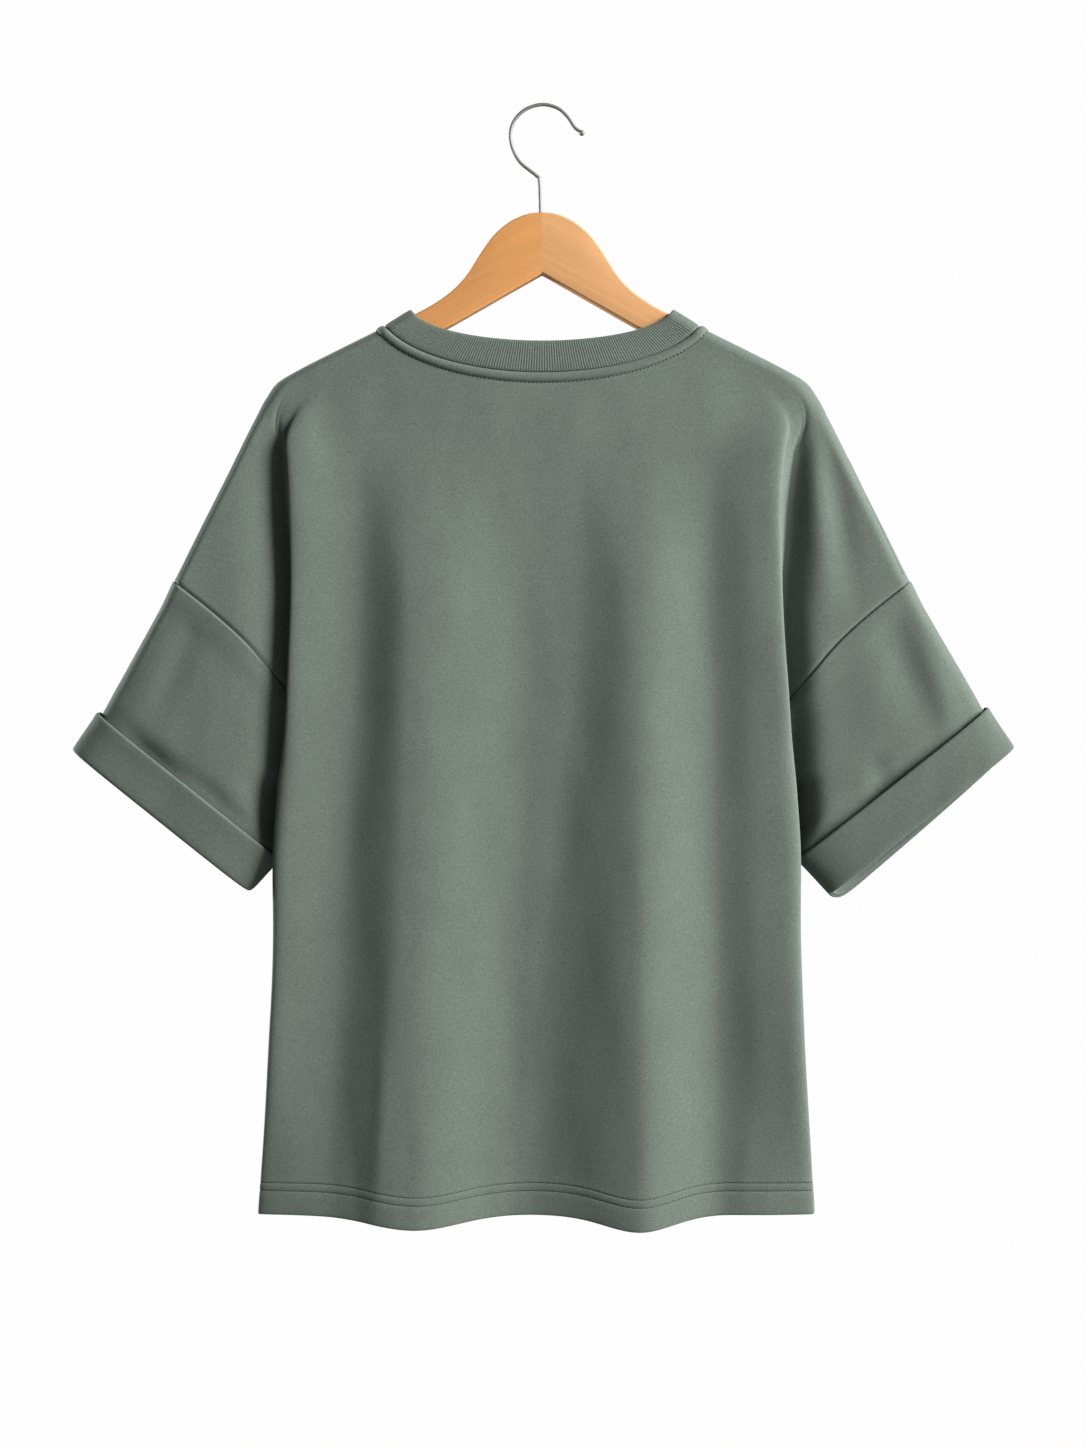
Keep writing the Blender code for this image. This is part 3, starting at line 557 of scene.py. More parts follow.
def quad_normals(points, quads):
    corners = points[quads]
    across = unit(np.cross(corners[:, 2] - corners[:, 0], corners[:, 3] - corners[:, 1]))
    normals = np.zeros_like(points)
    for k in range(4):
        np.add.at(normals, quads[:, k], across)
    return unit(normals)


def grid_quads(rows, columns, closed=False, turned=False):
    r, c = np.meshgrid(np.arange(rows - 1), np.arange(columns if closed else columns - 1), indexing="ij")
    d, r = (c + 1) % columns, r * columns
    quads = np.stack([r + c, r + columns + c, r + columns + d, r + d], axis=2).reshape(-1, 4)
    return quads[:, ::-1] if turned else quads


def rim_quads(quads, count):
    """Quads that join each open edge to the same edge count points later."""
    edges = np.concatenate([np.stack([quads[:, k], quads[:, (k + 1) % 4]], axis=1) for k in range(4)])
    have = set(map(tuple, edges.tolist()))
    return np.array(sorted((b, a, a + count, b + count) for a, b in have if (b, a) not in have))


def add_object(name, data):
    made = bpy.data.objects.new(name, data)
    bpy.context.scene.collection.objects.link(made)
    return made


def make_mesh(name, points, quads, material, smooth_angle=60):
    faces = [tuple(dict.fromkeys(quad)) for quad in quads.tolist()]
    mesh = bpy.data.meshes.new(name)
    mesh.from_pydata((points * MM).tolist(), [], [face for face in faces if len(face) > 2])
    mesh.validate()
    mesh.shade_smooth()
    mesh.set_sharp_from_angle(angle=math.radians(smooth_angle))
    mesh.materials.append(material)
    return add_object(name, mesh)


def make_shell(name, outer, inner, quads, material):
    count = len(outer)
    inside = quads[:, ::-1] + count
    every = np.concatenate([quads, inside, rim_quads(quads, count)])
    return make_mesh(name, np.concatenate([outer, inner]), every, material)


def make_panel(name, toward, form, material):
    """A body panel. Returns its object and the grids that the pieces sewn to it start from."""
    left, right = half_panel(-1, form), half_panel(1, form)
    sheet = np.concatenate([left[:, :0:-1], right], axis=1)
    sheet[..., 1] *= toward
    rows, columns = sheet.shape[:2]
    points = sheet.reshape(-1, 5)
    quads = grid_quads(rows, columns, turned=toward > 0)
    quads = quads[~np.isnan(points[quads, 0]).any(axis=1)]
    present = np.flatnonzero(~np.isnan(points[:, 0]))
    places = np.round(points[present, :3], 4)
    _, first, index = np.unique(places, axis=0, return_index=True, return_inverse=True)
    ids = np.full(len(points), -1)
    ids[present] = index.reshape(-1)
    base, ease = points[present][first, :3], points[present][first, 3]
    quads = ids[quads]
    normals = quad_normals(base, quads)
    on_seam = np.abs(base[:, 1]) < SEAM_GAP / 10
    normals[on_seam, 1] = 0.0
    normals = unit(normals)

    row_of = present[first] // columns
    relief, wall = np.zeros(rows), np.full(rows, WALL)
    relief[: len(STRIP_PROFILE)] = [row[1] for row in STRIP_PROFILE]
    relief[-len(HEM_ROWS) :] = [row[1] for row in HEM_ROWS]
    wall[-len(HEM_ROWS) + HEM_STITCH_ROWS[0] :] = HEM_WALL
    wall[-1] = HEM_EDGE_WALL
    soft = crease_rise(base[:, 0], base[:, 2], form["creases"]) + uneven_rise(base[:, 0], base[:, 2])
    formed = base + normals * (ease * soft - points[present][first, 4])[:, None]
    outer = formed + normals * relief[row_of][:, None]
    inner = formed - normals * wall[row_of][:, None]
    for face in (outer, inner):
        face[on_seam, 1] = toward * SEAM_GAP / 2
    made = make_shell(name, outer, inner, quads, material)
    grid = ids.reshape(rows, columns)
    return {"object": made, "outer": outer, "inner": inner, "base": base, "normals": normals, "ids": grid}


def cuff_frame(side):
    upper_x, upper_z, lower_x, lower_z = CUFF_CORNERS[side]
    upper = np.array([side * upper_x, 0.0, upper_z])
    lower = np.array([side * lower_x, 0.0, lower_z])
    across = unit(lower - upper)
    out = np.array([-across[2] * side, 0.0, across[0] * side])
    out = out if out[2] < 0 else -out
    return (upper + lower) / 2, across, out, np.linalg.norm(lower - upper) / 2


def flat_tube(shares, centre, across, half_width, half_depth):
    """Points round a flattened tube, from its upper corner (share 0) by way of the back."""
    angle = np.linspace(0, 2 * math.pi, 1441)
    ring = -np.stack([np.cos(angle), np.sin(angle)], axis=1)
    ring = np.sign(ring) * np.abs(ring) ** (2 / TUBE_POWER) * (half_width, half_depth)
    run = run_length(ring)
    u, y = on_line(shares * run[-1], run, ring).T
    return centre + np.outer(u, across) + np.outer(y, [0.0, 1.0, 0.0])


def cuff_ring(side, shares, back, inset):
    """A ring of the cuff's form, so far back from its open edge and so far inside its outer face."""
    middle, across, out, half_width = cuff_frame(side)
    flare = CUFF_FLARE * back / CUFF_DEPTH[side] - inset
    ring = flat_tube(shares, middle - out * back, across, half_width + flare, CUFF_HALF_DEPTH + flare)
    low = np.sqrt(np.clip(2 - 2 * shares, 0, 1))
    return ring + np.outer(FAR_EDGE[side] * low * smoothstep(ring[:, 1], 0.0, CUFF_HALF_DEPTH * 0.9), out)


def armhole_ring(side, back, front):
    """Outer and inner points round an armhole, from the shoulder end by way of the back."""
    first = len(STRIP_PROFILE) + UPPER_ROWS - 1
    last = first + ARMHOLE_ROWS
    column = 0 if side < 0 else back["ids"].shape[1] - 1
    back_ids = back["ids"][first : last + 1, column]
    front_ids = front["ids"][first : last + 1, column][::-1][1:-1]
    rings = []
    for face in ("outer", "inner"):
        ring = np.concatenate([back[face][back_ids], front[face][front_ids]])
        ring[[0, ARMHOLE_ROWS], 1] = 0.0
        rings.append(ring)
    return rings


SLEEVE_START = (0.0, 0.004, 0.010, 0.018, 0.030, 0.048)
SLEEVE_EDGE_RISE = 1.5
SLEEVE_EDGE_RUN = 0.009
SLEEVE_EDGE_FADE = 0.22
SLEEVE_DEPTH = 21.0
SLEEVE_LOW_ROLL = 11.0
CUFF_SINK = 2.2
# Along a sleeve, from 0 at the armhole to 1 under the cuff: where creases, the sink and the fold change
CREASES_GROW, CREASES_END = (0.02, 0.2), (1.08, 0.98)
SINK_GROWS = (0.86, 1.0)
PUCKER, PUCKER_RUN, CORNER_RUN = 0.4, 23, 0.06
FOLD_GROWS, FOLD_ENDS, FOLD_ROUND = (0.0, 0.07), (1.02, 0.8), (0.12, 0.22)
SLEEVE_CREASES = {
    # x, z, angle from upright, length, half width, bend, rise, on the back and on the front
    -1: {
        "back": ((-312, -480, -24, 130, 10, 3, -1.6), (-330, -553, 50, 76, 8, 0, -3.6)),
        "front": ((-300, -505, 30, 100, 11, -3, -1.6),),
    },
    1: {
        "back": (
            (306, -474, 21, 170, 17, 0, -2.6),
            (331, -486, 22, 170, 12, 0, 1.4),
            (284, -566, 20, 46, 8, 0, -1.6),
        ),
        "front": ((300, -500, -30, 110, 12, 3, -1.5),),
    },
}


def make_sleeve(side, back, front, material):
    outer_start, inner_start = armhole_ring(side, back, front)
    across, out = cuff_frame(side)[1:3]
    # At the underarm the sleeve's wall runs square to the sleeve, not to the panels
    inner_start[ARMHOLE_ROWS] = outer_start[ARMHOLE_ROWS] - WALL * across
    run = run_length(np.append(outer_start, outer_start[:1], axis=0))
    shares = np.interp(run[:-1], (0, run[ARMHOLE_ROWS], run[-1]), (0, 0.5, 1))
    inset = CUFF_STAND + CUFF_WALL
    backs = (CUFF_DEPTH[side] + 2.0, CUFF_DEPTH[side] * 0.5, CUFF_WALL + SEAM_GAP)
    ends = [[cuff_ring(side, shares, b, inset + wall) for b in backs] for wall in (0.0, WALL)]
    shift = SEAM_GAP * (out + np.array([side * 1.0, 0.0, -1.0])) / 2
    down = np.concatenate([SLEEVE_START, np.linspace(SLEEVE_START[-1], 1, SLEEVE_RINGS)[1:]])
    faces = []
    for start, end in zip((outer_start, inner_start), ends):
        rings = [(start + shift) * (1 - t) + end[0] * t for t in down]
        faces.append(np.array(rings + end[1:]))
    outer, inner = faces
    rows, columns = outer.shape[:2]
    quads = grid_quads(rows, columns, closed=True, turned=side > 0)
    normals = quad_normals(outer.reshape(-1, 3), quads).reshape(outer.shape)
    t = np.concatenate([down, [2.0] * (len(backs) - 1)])[:, None]
    edge = SLEEVE_EDGE_RISE * np.sqrt(smoothstep(t, 0, SLEEVE_EDGE_RUN))
    edge = edge * smoothstep(t, SLEEVE_EDGE_FADE, 0)
    ease = smoothstep(t, *CREASES_GROW) * smoothstep(t, *CREASES_END)
    x, y, z = outer[..., 0], outer[..., 1], outer[..., 2]
    rear, fore = smoothstep(-y, 0, 8), smoothstep(y, 0, 8)
    creases = SLEEVE_CREASES[side]
    soft = rear * crease_rise(x, z, creases["back"]) + fore * crease_rise(x, z, creases["front"])
    sink = CUFF_SINK * smoothstep(t, *SINK_GROWS) * (1 + PUCKER * np.sin((x + z) / PUCKER_RUN + side))
    for corner in (0.0, 0.5, 1.0):
        sink *= 1 - 0.9 * np.exp(-(((shares - corner) / CORNER_RUN) ** 2))
    soft = ease * (soft + uneven_rise(x + 7 * y, z)) - sink
    # Beside the body the sleeve climbs out of the side fold as the panel above it does
    lower_x, lower_z = CUFF_CORNERS[side][2:]
    low_run = unit(np.array([lower_x, lower_z]) - (ARMHOLE_SEAM[-1][0], UNDERARM_Z))
    over = (side * x - ARMHOLE_SEAM[-1][0]) * -low_run[1] + (z - UNDERARM_Z) * low_run[0]
    roll = np.clip(over / SLEEVE_LOW_ROLL, 0, 1)
    aim = wall_depth(side, side * x, z, valley_floor(z), SLEEVE_DEPTH) * np.sqrt(1 - (1 - roll) ** 2)
    folded = smoothstep(np.minimum(shares, 1 - shares), *FOLD_ROUND)
    folded = folded * smoothstep(t, *FOLD_GROWS) * smoothstep(t, *FOLD_ENDS)
    lowered = np.stack([0 * x, folded * (np.sign(y) * aim - y), 0 * z], axis=2)
    outer = outer + lowered + normals * (soft + edge)[..., None]
    inner = inner + lowered + normals * (soft + edge * smoothstep(t, 0.002, 0.02))[..., None]
    name = f"sleeve_{SIDES[side]}_cloth"
    made = make_shell(name, outer.reshape(-1, 3), inner.reshape(-1, 3), quads, material)
    return {"object": made, "shares": shares}


CUFF_PROFILE = (
    # distance back from the open edge of a 38 mm cuff, distance in from the outer face
    (38, 0.6), (37.7, 0), (37, -0.35), (35.5, -0.45), (30, -0.1), (24, 0), (18, 0.05), (12, 0),
    (7, -0.05), (3.6, 0), (1.8, 0.12), (0.8, 0.5), (0.2, 1.1), (0, 1.8), (0.25, 2.25), (0.75, 2.5),
    (0.25, 2.75), (0, 3.3), (0.2, 4), (0.8, 4.6), (2.2, 4.9), (2.2, 2.2), (10, 2.2), (20, 2.2),
    (30, 2.1), (37.2, 1.7), (37.9, 1.2),
)
CUFF_LAYERS = (
    # distance from the cuff's lower end, depth: the edges of the folded layers
    (2, 0.9), (4.6, 0.7), (7.6, 0.4),
)
LAYER_WIDTH = 0.7
CUFF_UNEVEN = 1.6


def make_cuff(side, shares, material):
    """A turned-up hem: its wall turns round the open edge and lies on the sleeve."""
    fine = np.interp(np.arange(0, len(shares), 0.5), np.arange(len(shares) + 1), np.append(shares, 1.0))
    deep = CUFF_DEPTH[side] / CUFF_PROFILE[0][0]
    grid = np.array([cuff_ring(side, fine, back * deep, inset) for back, inset in CUFF_PROFILE])
    count, columns = grid.shape[:2]
    quads = grid_quads(count + 1, columns, closed=True, turned=side > 0) % (count * columns)
    normals = quad_normals(grid.reshape(-1, 3), quads).reshape(grid.shape)
    x, y, z = grid[..., 0], grid[..., 1], grid[..., 2]
    inset = np.array([row[1] for row in CUFF_PROFILE])[:, None]
    outside = smoothstep(inset, 1.2, 0.4)
    soft = CUFF_UNEVEN * uneven_rise(x + 5 * y, z * 1.3 + 40 * side)
    from_end = np.abs(fine - 0.5) * np.linalg.norm(np.diff(grid[5], axis=0), axis=1).sum()
    for away, depth in CUFF_LAYERS:
        soft = soft - depth * np.exp(-(((from_end - away) / LAYER_WIDTH) ** 2))
    grid = grid + normals * (outside * soft)[..., None]
    return make_mesh(f"cuff_{SIDES[side]}_cloth", grid.reshape(-1, 3), quads, material)


def make_neckband(back, front, material):
    """The band: a ribbed wall between the neck seam and a smaller ellipse."""
    edge_back = back["base"][back["ids"][0]]
    edge_front = front["base"][front["ids"][0]][::-1][1:-1]
    ring = np.concatenate([edge_back, edge_front, edge_back[:1]])
    run = run_length(ring)
    wales = round(run[-1] / WALE_PITCH)
    columns = BAND_COLUMNS_A_WALE * wales
    turn = np.arange(columns) / columns
    seam = on_line(run[-1] * turn, run, ring)
    low_x = np.clip(seam[:, 0] / NECK_POINT_X, -1, 1)
    rear = seam[:, 1] <= 0
    drop = np.where(rear, BACK_NECK["drop"], FRONT_NECK["drop"]) - BAND_DEPTH
    wide = np.where(rear, BAND_TOP_WIDE["back"], BAND_TOP_WIDE["front"])
    top_x = low_x * BAND_TOP_X
    top_z = NECK_Z - drop * np.sqrt(np.clip(1 - (top_x / wide) ** 2, 0, 1))
    top_z = np.minimum(top_z, BAND_END_Z)
    top = np.stack([top_x, seam[:, 1] * BAND_TOP_DEPTH, top_z], axis=1)
    along_band = unit(top - seam)
    ring_step = np.roll(seam, -9, axis=0) - np.roll(seam, 9, axis=0)
    normal = unit(np.cross(ring_step, along_band))
    normal *= np.where((normal * (seam - BODY_MIDDLE)).sum(axis=1) < 0, -1.0, 1.0)[:, None]
    start = seam + along_band * SEAM_GAP
    wale = WALE_HEIGHT * np.cos(2 * math.pi * wales * turn)
    rings = []
    for share, height in BAND_PROFILE:
        ribbed = wale * (0.02 < share < 0.97) * (1 if height > 0 else -1)
        rings.append(start + (top - start) * share + normal * (height + ribbed)[:, None])
    count = len(rings)
    quads = grid_quads(count + 1, columns, closed=True) % (count * columns)
    return make_mesh("neckband_rib", np.concatenate(rings), quads[:, ::-1], material)


def make_stitches(name, rows, material):
    """A short rounded bar for each stitch. Each row has points, normals and a stitch's own sizes."""
    points, quads = [], []
    angles = 2 * math.pi * np.arange(STITCH_SIDES) / STITCH_SIDES
    reach = np.array([-0.5, -0.4, 0.0, 0.4, 0.5])
    girth = np.array([0.25, 0.85, 1.0, 0.85, 0.25])
    sunk = np.array([-0.9, -0.1, 0.35, -0.1, -0.9])
    one = grid_quads(len(reach), STITCH_SIDES, closed=True)
    for line, normals, pitch, length, radius, sway in rows:
        run = run_length(line)
        for k, at in enumerate(np.arange(pitch, run[-1] - pitch, pitch)):
            spot, up = on_line(at, run, line), on_line(at, run, normals)
            ahead = unit(on_line(at + 0.5, run, line) - spot)
            side = unit(np.cross(up, ahead))
            lean = sway * (1 if k % 2 else -1)
            along_thread = ahead * math.cos(lean) + side * math.sin(lean)
            beside = np.cross(up, along_thread)
            rings = [
                spot
                + along_thread * (r * length)
                + up * (radius * n)
                + np.outer(np.cos(angles) * radius * g, beside)
                + np.outer(np.sin(angles) * radius * g, up)
                for r, g, n in zip(reach, girth, sunk)
            ]
            quads.append(one + len(points) * len(reach) * STITCH_SIDES)
            points.append(np.concatenate(rings))
    return make_mesh(name, np.concatenate(points), np.concatenate(quads), material)


# Stitches: pitch, length, the thread's radius, and how far each leans (radians), left and right in turn
HEM_STITCH = (2.9, 2.2, 0.34, 0.0)
NECK_STITCH = (3.4, 2.2, 0.5, 1.5)
SEAM_STITCHES = {-1: (2.0, 3.0, 0.2, 0.0), 1: (2.0, 3.0, 0.45, 0.0)}
STITCH_TRIM = 2
SHOULDER_SEAMS = {
    # z, distance inside the outline: where the seam shows on the back
    -1: ((-262, 1.2), (-300, 2.6), (-350, 3.6), (-401, 4.2)),
    1: ((-300, 0.6), (-322, 1.6), (-360, 3.6), (-401, 5)),
}


def shoulder_seam(side, form):
    """Points and normals of the shoulder seam, which lies a little inside the back's outline."""
    depth, inset = np.array(SHOULDER_SEAMS[side]).T
    z = np.linspace(depth[0], depth[-1], 60)
    s = lobe_place(side, edge_x(z) - smooth_curve(-z, -depth, inset), z, form)
    x, y = section(side, s, z, form)
    line = np.stack([x, -y, z], axis=1)
    near_x, near_y = section(side, s - 0.02, z, form)
    across = np.stack([x - near_x, near_y - y, 0 * z], axis=1)
    return line, unit(np.cross(np.gradient(line, axis=0), across) * -side)


def make_panel_stitches(name, panel, material):
    first = len(panel["ids"]) - len(HEM_ROWS)
    kinds = [(first + row, HEM_STITCH) for row in HEM_STITCH_ROWS] + [(STRIP_STITCH_ROW, NECK_STITCH)]
    rows = []
    for row, sizes in kinds:
        ids = panel["ids"][row]
        ids = ids[ids >= 0][STITCH_TRIM:-STITCH_TRIM]
        rows.append((panel["outer"][ids], panel["normals"][ids], *sizes))
    return make_stitches(name, rows, material)


def rounded_section(x, top, bottom, half_thick, edge, sides=8):
    """A round-edged bar's section in the plane of y and z."""
    y, high, low = half_thick - edge, top - edge, bottom + edge
    points = []
    for start, corner_y, corner_z in ((0, y, high), (90, -y, high), (180, -y, low), (270, y, low)):
        for angle in np.radians(start + 90 * np.arange(sides) / (sides - 1)):
            points.append((x, corner_y + edge * math.cos(angle), corner_z + edge * math.sin(angle)))
    return np.array(points)


def capped_loft(name, rings, material, turned=False):
    """Rings joined in order, with the first and last closed onto their middles."""
    rings = [np.tile(rings[0].mean(axis=0), (len(rings[0]), 1))] + list(rings)
    rings.append(np.tile(rings[-1].mean(axis=0), (len(rings[0]), 1)))
    count, columns = len(rings), len(rings[0])
    quads = grid_quads(count, columns, closed=True, turned=turned)
    first = np.arange(columns)
    last = first + (count - 1) * columns
    quads = np.where(np.isin(quads, first), first[0], quads)
    quads = np.where(np.isin(quads, last), last[0], quads)
    return make_mesh(name, np.concatenate(rings), quads, material, smooth_angle=40)


def wood_edges(x):
    """Upper and lower z of the arm at x, with its round nose."""
    under = [(px, pz - seat) for (px, pz), seat in zip(SHOULDER_LINE, WOOD_SEATS)]
    top = np.array(list(WOOD_TOP) + under, float)
    low = np.array([(0.15, WOOD_NOTCH_Z)] + list(WOOD_LOWER), float)
    upper, lower = float(smooth_curve(x, *top.T)), float(np.interp(x, *low.T))
    beyond = x - WOOD_END_X
    if beyond > 0:
        half = math.sqrt(max(WOOD_END_RADIUS**2 - beyond**2, 0.0))
        upper, lower = min(upper, WOOD_END_Z + half), max(lower, WOOD_END_Z - half)
    return upper, lower


def make_arm(side, material):
    stations = list(np.linspace(0.0, WOOD_END_X, WOOD_STATIONS))
    stations += [WOOD_END_X + WOOD_END_RADIUS * math.sin(math.radians(a)) for a in NOSE_ANGLES]
    rings = []
    for x in stations:
        top, bottom = wood_edges(x)
        beyond = max(x - WOOD_END_X, 0.0) / WOOD_END_RADIUS
        thick = np.interp(x, (WOOD_TOP[-1][0], SHOULDER_LINE[2][0]), (WOOD_THICK, WOOD_END_THICK))
        thin = thick / 2 - WOOD_EDGE * (1 - math.sqrt(1 - beyond**2)) * 0.8
        edge = min(WOOD_EDGE, (top - bottom) / 2 - 0.05, thin - 0.4)
        rings.append(rounded_section(side * x, top, bottom, thin, edge))
    return capped_loft(f"arm_{SIDES[side]}_wood", rings, material, turned=side > 0)


def smooth_route(route, steps):
    """Points on a smooth curve through the route's points."""
    ends = np.array(route, float)
    padded = np.concatenate([[2 * ends[0] - ends[1]], ends, [2 * ends[-1] - ends[-2]]])
    points = []
    for k in range(1, len(ends)):
        points += [between(*padded[k - 1 : k + 3], t) for t in np.arange(steps) / steps]
    points.append(ends[-1])
    return np.array(points)


def make_hook(material):
    """The wire, bent in one plane, with a ball formed on its tip."""
    path = smooth_route(HOOK_ROUTE, WIRE_STEPS)
    tip = path[-1]
    heading = unit(path[-1] - path[-2])
    centres, radii = list(path), [WIRE_RADIUS] * len(path)
    start = -math.sqrt(BALL_RADIUS**2 - WIRE_RADIUS**2)
    for angle in BALL_ANGLES:
        reach = BALL_RADIUS * math.sin(math.radians(angle))
        centres.append(tip + heading * (reach - start + 0.2))
        radii.append(BALL_RADIUS * math.cos(math.radians(angle)))
    centres = np.array(centres)
    ahead = unit(np.gradient(centres, axis=0))
    angles = 2 * math.pi * np.arange(WIRE_SIDES) / WIRE_SIDES
    rings = []
    for (x, z), (dx, dz), radius in zip(centres, ahead, radii):
        sideways, depth = radius * np.cos(angles), radius * np.sin(angles)
        rings.append(np.stack([x - dz * sideways, depth, z + dx * sideways], axis=1))
    return capped_loft("hook_wire", rings, material)


JERSEY = (0.150, 0.182, 0.154)
RIB = (0.144, 0.175, 0.148)
SHEEN = (0.72, 0.80, 0.73, 1.0)
# Painted shade: the stitches are coloured near black for the shade down in their holes and grooves, not for
# the thread's own colour
STITCH_PAINTED_SHADE = (0.040, 0.052, 0.042)
# Both arms are one wood: the right arm's paler, less orange tone is painted light
WOOD_WITH_PAINTED_LIGHT = {-1: (0.760, 0.345, 0.108), 1: (0.765, 0.395, 0.165)}
# Painted reflection: the hook is chrome, given a mostly diffuse taupe grey for the grey surroundings it
# reflects
CHROME_PAINTED_REFLECTION = (0.27, 0.25, 0.235)
FLOOR = (0.16, 0.16, 0.16)
# How far the cloth's grain and the wood's lean from upright and from level, in degrees
SLEEVE_LEAN, WOOD_LEAN = 38.0, 29.0
# Painted light and shade: the sleeves and cuffs are one jersey, made lighter or darker on each side by
# these factors
ARM_PAINTED_SHADE, CUFF_PAINTED_LIGHT_AND_SHADE = {-1: 1.0, 1: 0.93}, {-1: 1.04, 1: 0.85}
# The cloth's noises: scale, detail and roughness
FINE, FELT, MOTTLE = (1250, 2, 0.6), (640, 3, 0.65), (30, 3, 0.55)
# The wood's noises: stretch along each axis, detail and roughness
STREAK, RINGS, PORES = ((9, 60, 260), 4, 0.6), ((3.5, 25, 60), 2, 0.5), ((120, 900, 1500), 1, 0.5)


def new_material(name):
    material = bpy.data.materials.new(name)
    material.use_nodes = True
    return material, material.node_tree, material.node_tree.nodes["Principled BSDF"]


def set_inputs(node, **values):
    for key, value in values.items():
        node.inputs[key.replace("_", " ")].default_value = value


def add_node(tree, kind, settings=(), **inputs):
    node = tree.nodes.new(kind)
    for key, value in dict(settings).items():
        setattr(node, key, value)
    set_inputs(node, **inputs)
    return node


def add_bump(tree, shader, height, strength, distance):
    bump = add_node(tree, "ShaderNodeBump", Strength=strength, Distance=distance)
    tree.links.new(height, bump.inputs["Height"])
    tree.links.new(bump.outputs["Normal"], shader.inputs["Normal"])


def add_camera_switch(tree, lit, seen, surface):
    """The camera meets the seen shader, and every other ray the lit one."""
    path = add_node(tree, "ShaderNodeLightPath")
    mix = add_node(tree, "ShaderNodeMixShader")
    tree.links.new(path.outputs["Is Camera Ray"], mix.inputs[0])
    tree.links.new(lit.outputs[0], mix.inputs[1])
    tree.links.new(seen.outputs[0], mix.inputs[2])
    tree.links.new(mix.outputs[0], surface)


def coordinates(tree, lean=0.0, scale=(1.0, 1.0, 1.0)):
    """Object coordinates leaned in the plane of the cloth, and then scaled."""
    place = add_node(tree, "ShaderNodeTexCoord")
    leaned = add_node(tree, "ShaderNodeMapping", Rotation=(0.0, math.radians(lean), 0.0))
    scaled = add_node(tree, "ShaderNodeMapping", Scale=scale)
    tree.links.new(place.outputs["Object"], leaned.inputs["Vector"])
    tree.links.new(leaned.outputs["Vector"], scaled.inputs["Vector"])
    return scaled.outputs["Vector"]


def noise(tree, vector, scale, detail=2.0, roughness=0.5):
    node = add_node(tree, "ShaderNodeTexNoise", Scale=scale, Detail=detail, Roughness=roughness)
    tree.links.new(vector, node.inputs["Vector"])
    return node.outputs["Fac"]


def ramp(tree, value, low, high):
    """A noise's middle range, from 0.3 to 0.7, taken to low and high."""
    node = add_node(tree, "ShaderNodeMapRange", From_Min=0.3, From_Max=0.7, To_Min=low, To_Max=high)
    tree.links.new(value, node.inputs["Value"])
    return node.outputs["Result"]


def times(tree, *rows):
    """The product of noises, each taken to its own low and high."""
    result = ramp(tree, *rows[0])
    for row in rows[1:]:
        node = add_node(tree, "ShaderNodeMath", {"operation": "MULTIPLY"})
        tree.links.new(result, node.inputs[0])
        tree.links.new(ramp(tree, *row), node.inputs[1])
        result = node.outputs[0]
    return result


def tint(tree, shader, colour, factor):
    """Gives the shader a colour scaled by a factor."""
    node = add_node(tree, "ShaderNodeVectorMath", {"operation": "SCALE"})
    node.inputs[0].default_value = colour
    tree.links.new(factor, node.inputs["Scale"])
    tree.links.new(node.outputs["Vector"], shader.inputs["Base Color"])


def cloth_material(name, colour, lean=0.0):
    """Brushed jersey: a short felted grain over a slow mottle. lean turns it with the piece."""
    material, tree, shader = new_material(name)
    grain = coordinates(tree, lean, (0.8, 0.8, 1.15))
    fine, felt, mottle = (noise(tree, grain, *sizes) for sizes in (FINE, FELT, MOTTLE))
    factor = times(tree, (fine, 0.82, 1.18), (felt, 0.86, 1.14), (mottle, 0.97, 1.03))
    tint(tree, shader, colour, factor)
    tree.links.new(ramp(tree, felt, 0.84, 0.96), shader.inputs["Roughness"])
    set_inputs(shader, Specular_IOR_Level=0.12, Sheen_Weight=0.16, Sheen_Roughness=0.5, Sheen_Tint=SHEEN)
    add_bump(tree, shader, times(tree, (felt, 0.5, 1.0), (fine, 0.6, 1.0)), 0.3, 0.0003)
    return material


def stitch_shade_material(colour):
    # The stitches' near-black colour is painted shade
    material, tree, shader = new_material("thread")
    twist = noise(tree, coordinates(tree), 1900.0, 2.0)
    tint(tree, shader, colour, ramp(tree, twist, 0.8, 1.2))
    set_inputs(shader, Roughness=0.7, Specular_IOR_Level=0.25)
    return material


def wood_material(side):
    """Clear-varnished pale wood with its grain along the arm; the right arm's paler tone is painted light.
    """
    material, tree, shader = new_material(f"wood_{SIDES[side]}")
    streak, ring, pore = (
        noise(tree, coordinates(tree, -side * WOOD_LEAN, stretch), 1.0, *sizes)
        for stretch, *sizes in (STREAK, RINGS, PORES)
    )
    factor = times(tree, (streak, 0.93, 1.06), (ring, 0.94, 1.05), (pore, 0.97, 1.03))
    tint(tree, shader, WOOD_WITH_PAINTED_LIGHT[side], factor)
    tree.links.new(ramp(tree, streak, 0.48, 0.58), shader.inputs["Roughness"])
    set_inputs(shader, Coat_Weight=0.15, Coat_Roughness=0.35)
    add_bump(tree, shader, streak, 0.12, 0.0002)
    return material


def chrome_material():
    material, tree, shader = new_material("chrome")
    # Its low metal share lets the taupe base colour show as painted reflection
    haze = noise(tree, coordinates(tree), 90.0, 2.0)
    tint(tree, shader, CHROME_PAINTED_REFLECTION, ramp(tree, haze, 0.95, 1.05))
    tree.links.new(ramp(tree, haze, 0.52, 0.58), shader.inputs["Roughness"])
    set_inputs(shader, Metallic=0.35)
    return material


def shaded_sleeve_cloth(name, side, shade):
    # The jersey's colour scaled by painted light or shade for one sleeve or cuff
    colour = tuple(shade * part for part in JERSEY)
    return cloth_material(f"jersey_{name}_{SIDES[side]}", colour, side * SLEEVE_LEAN)


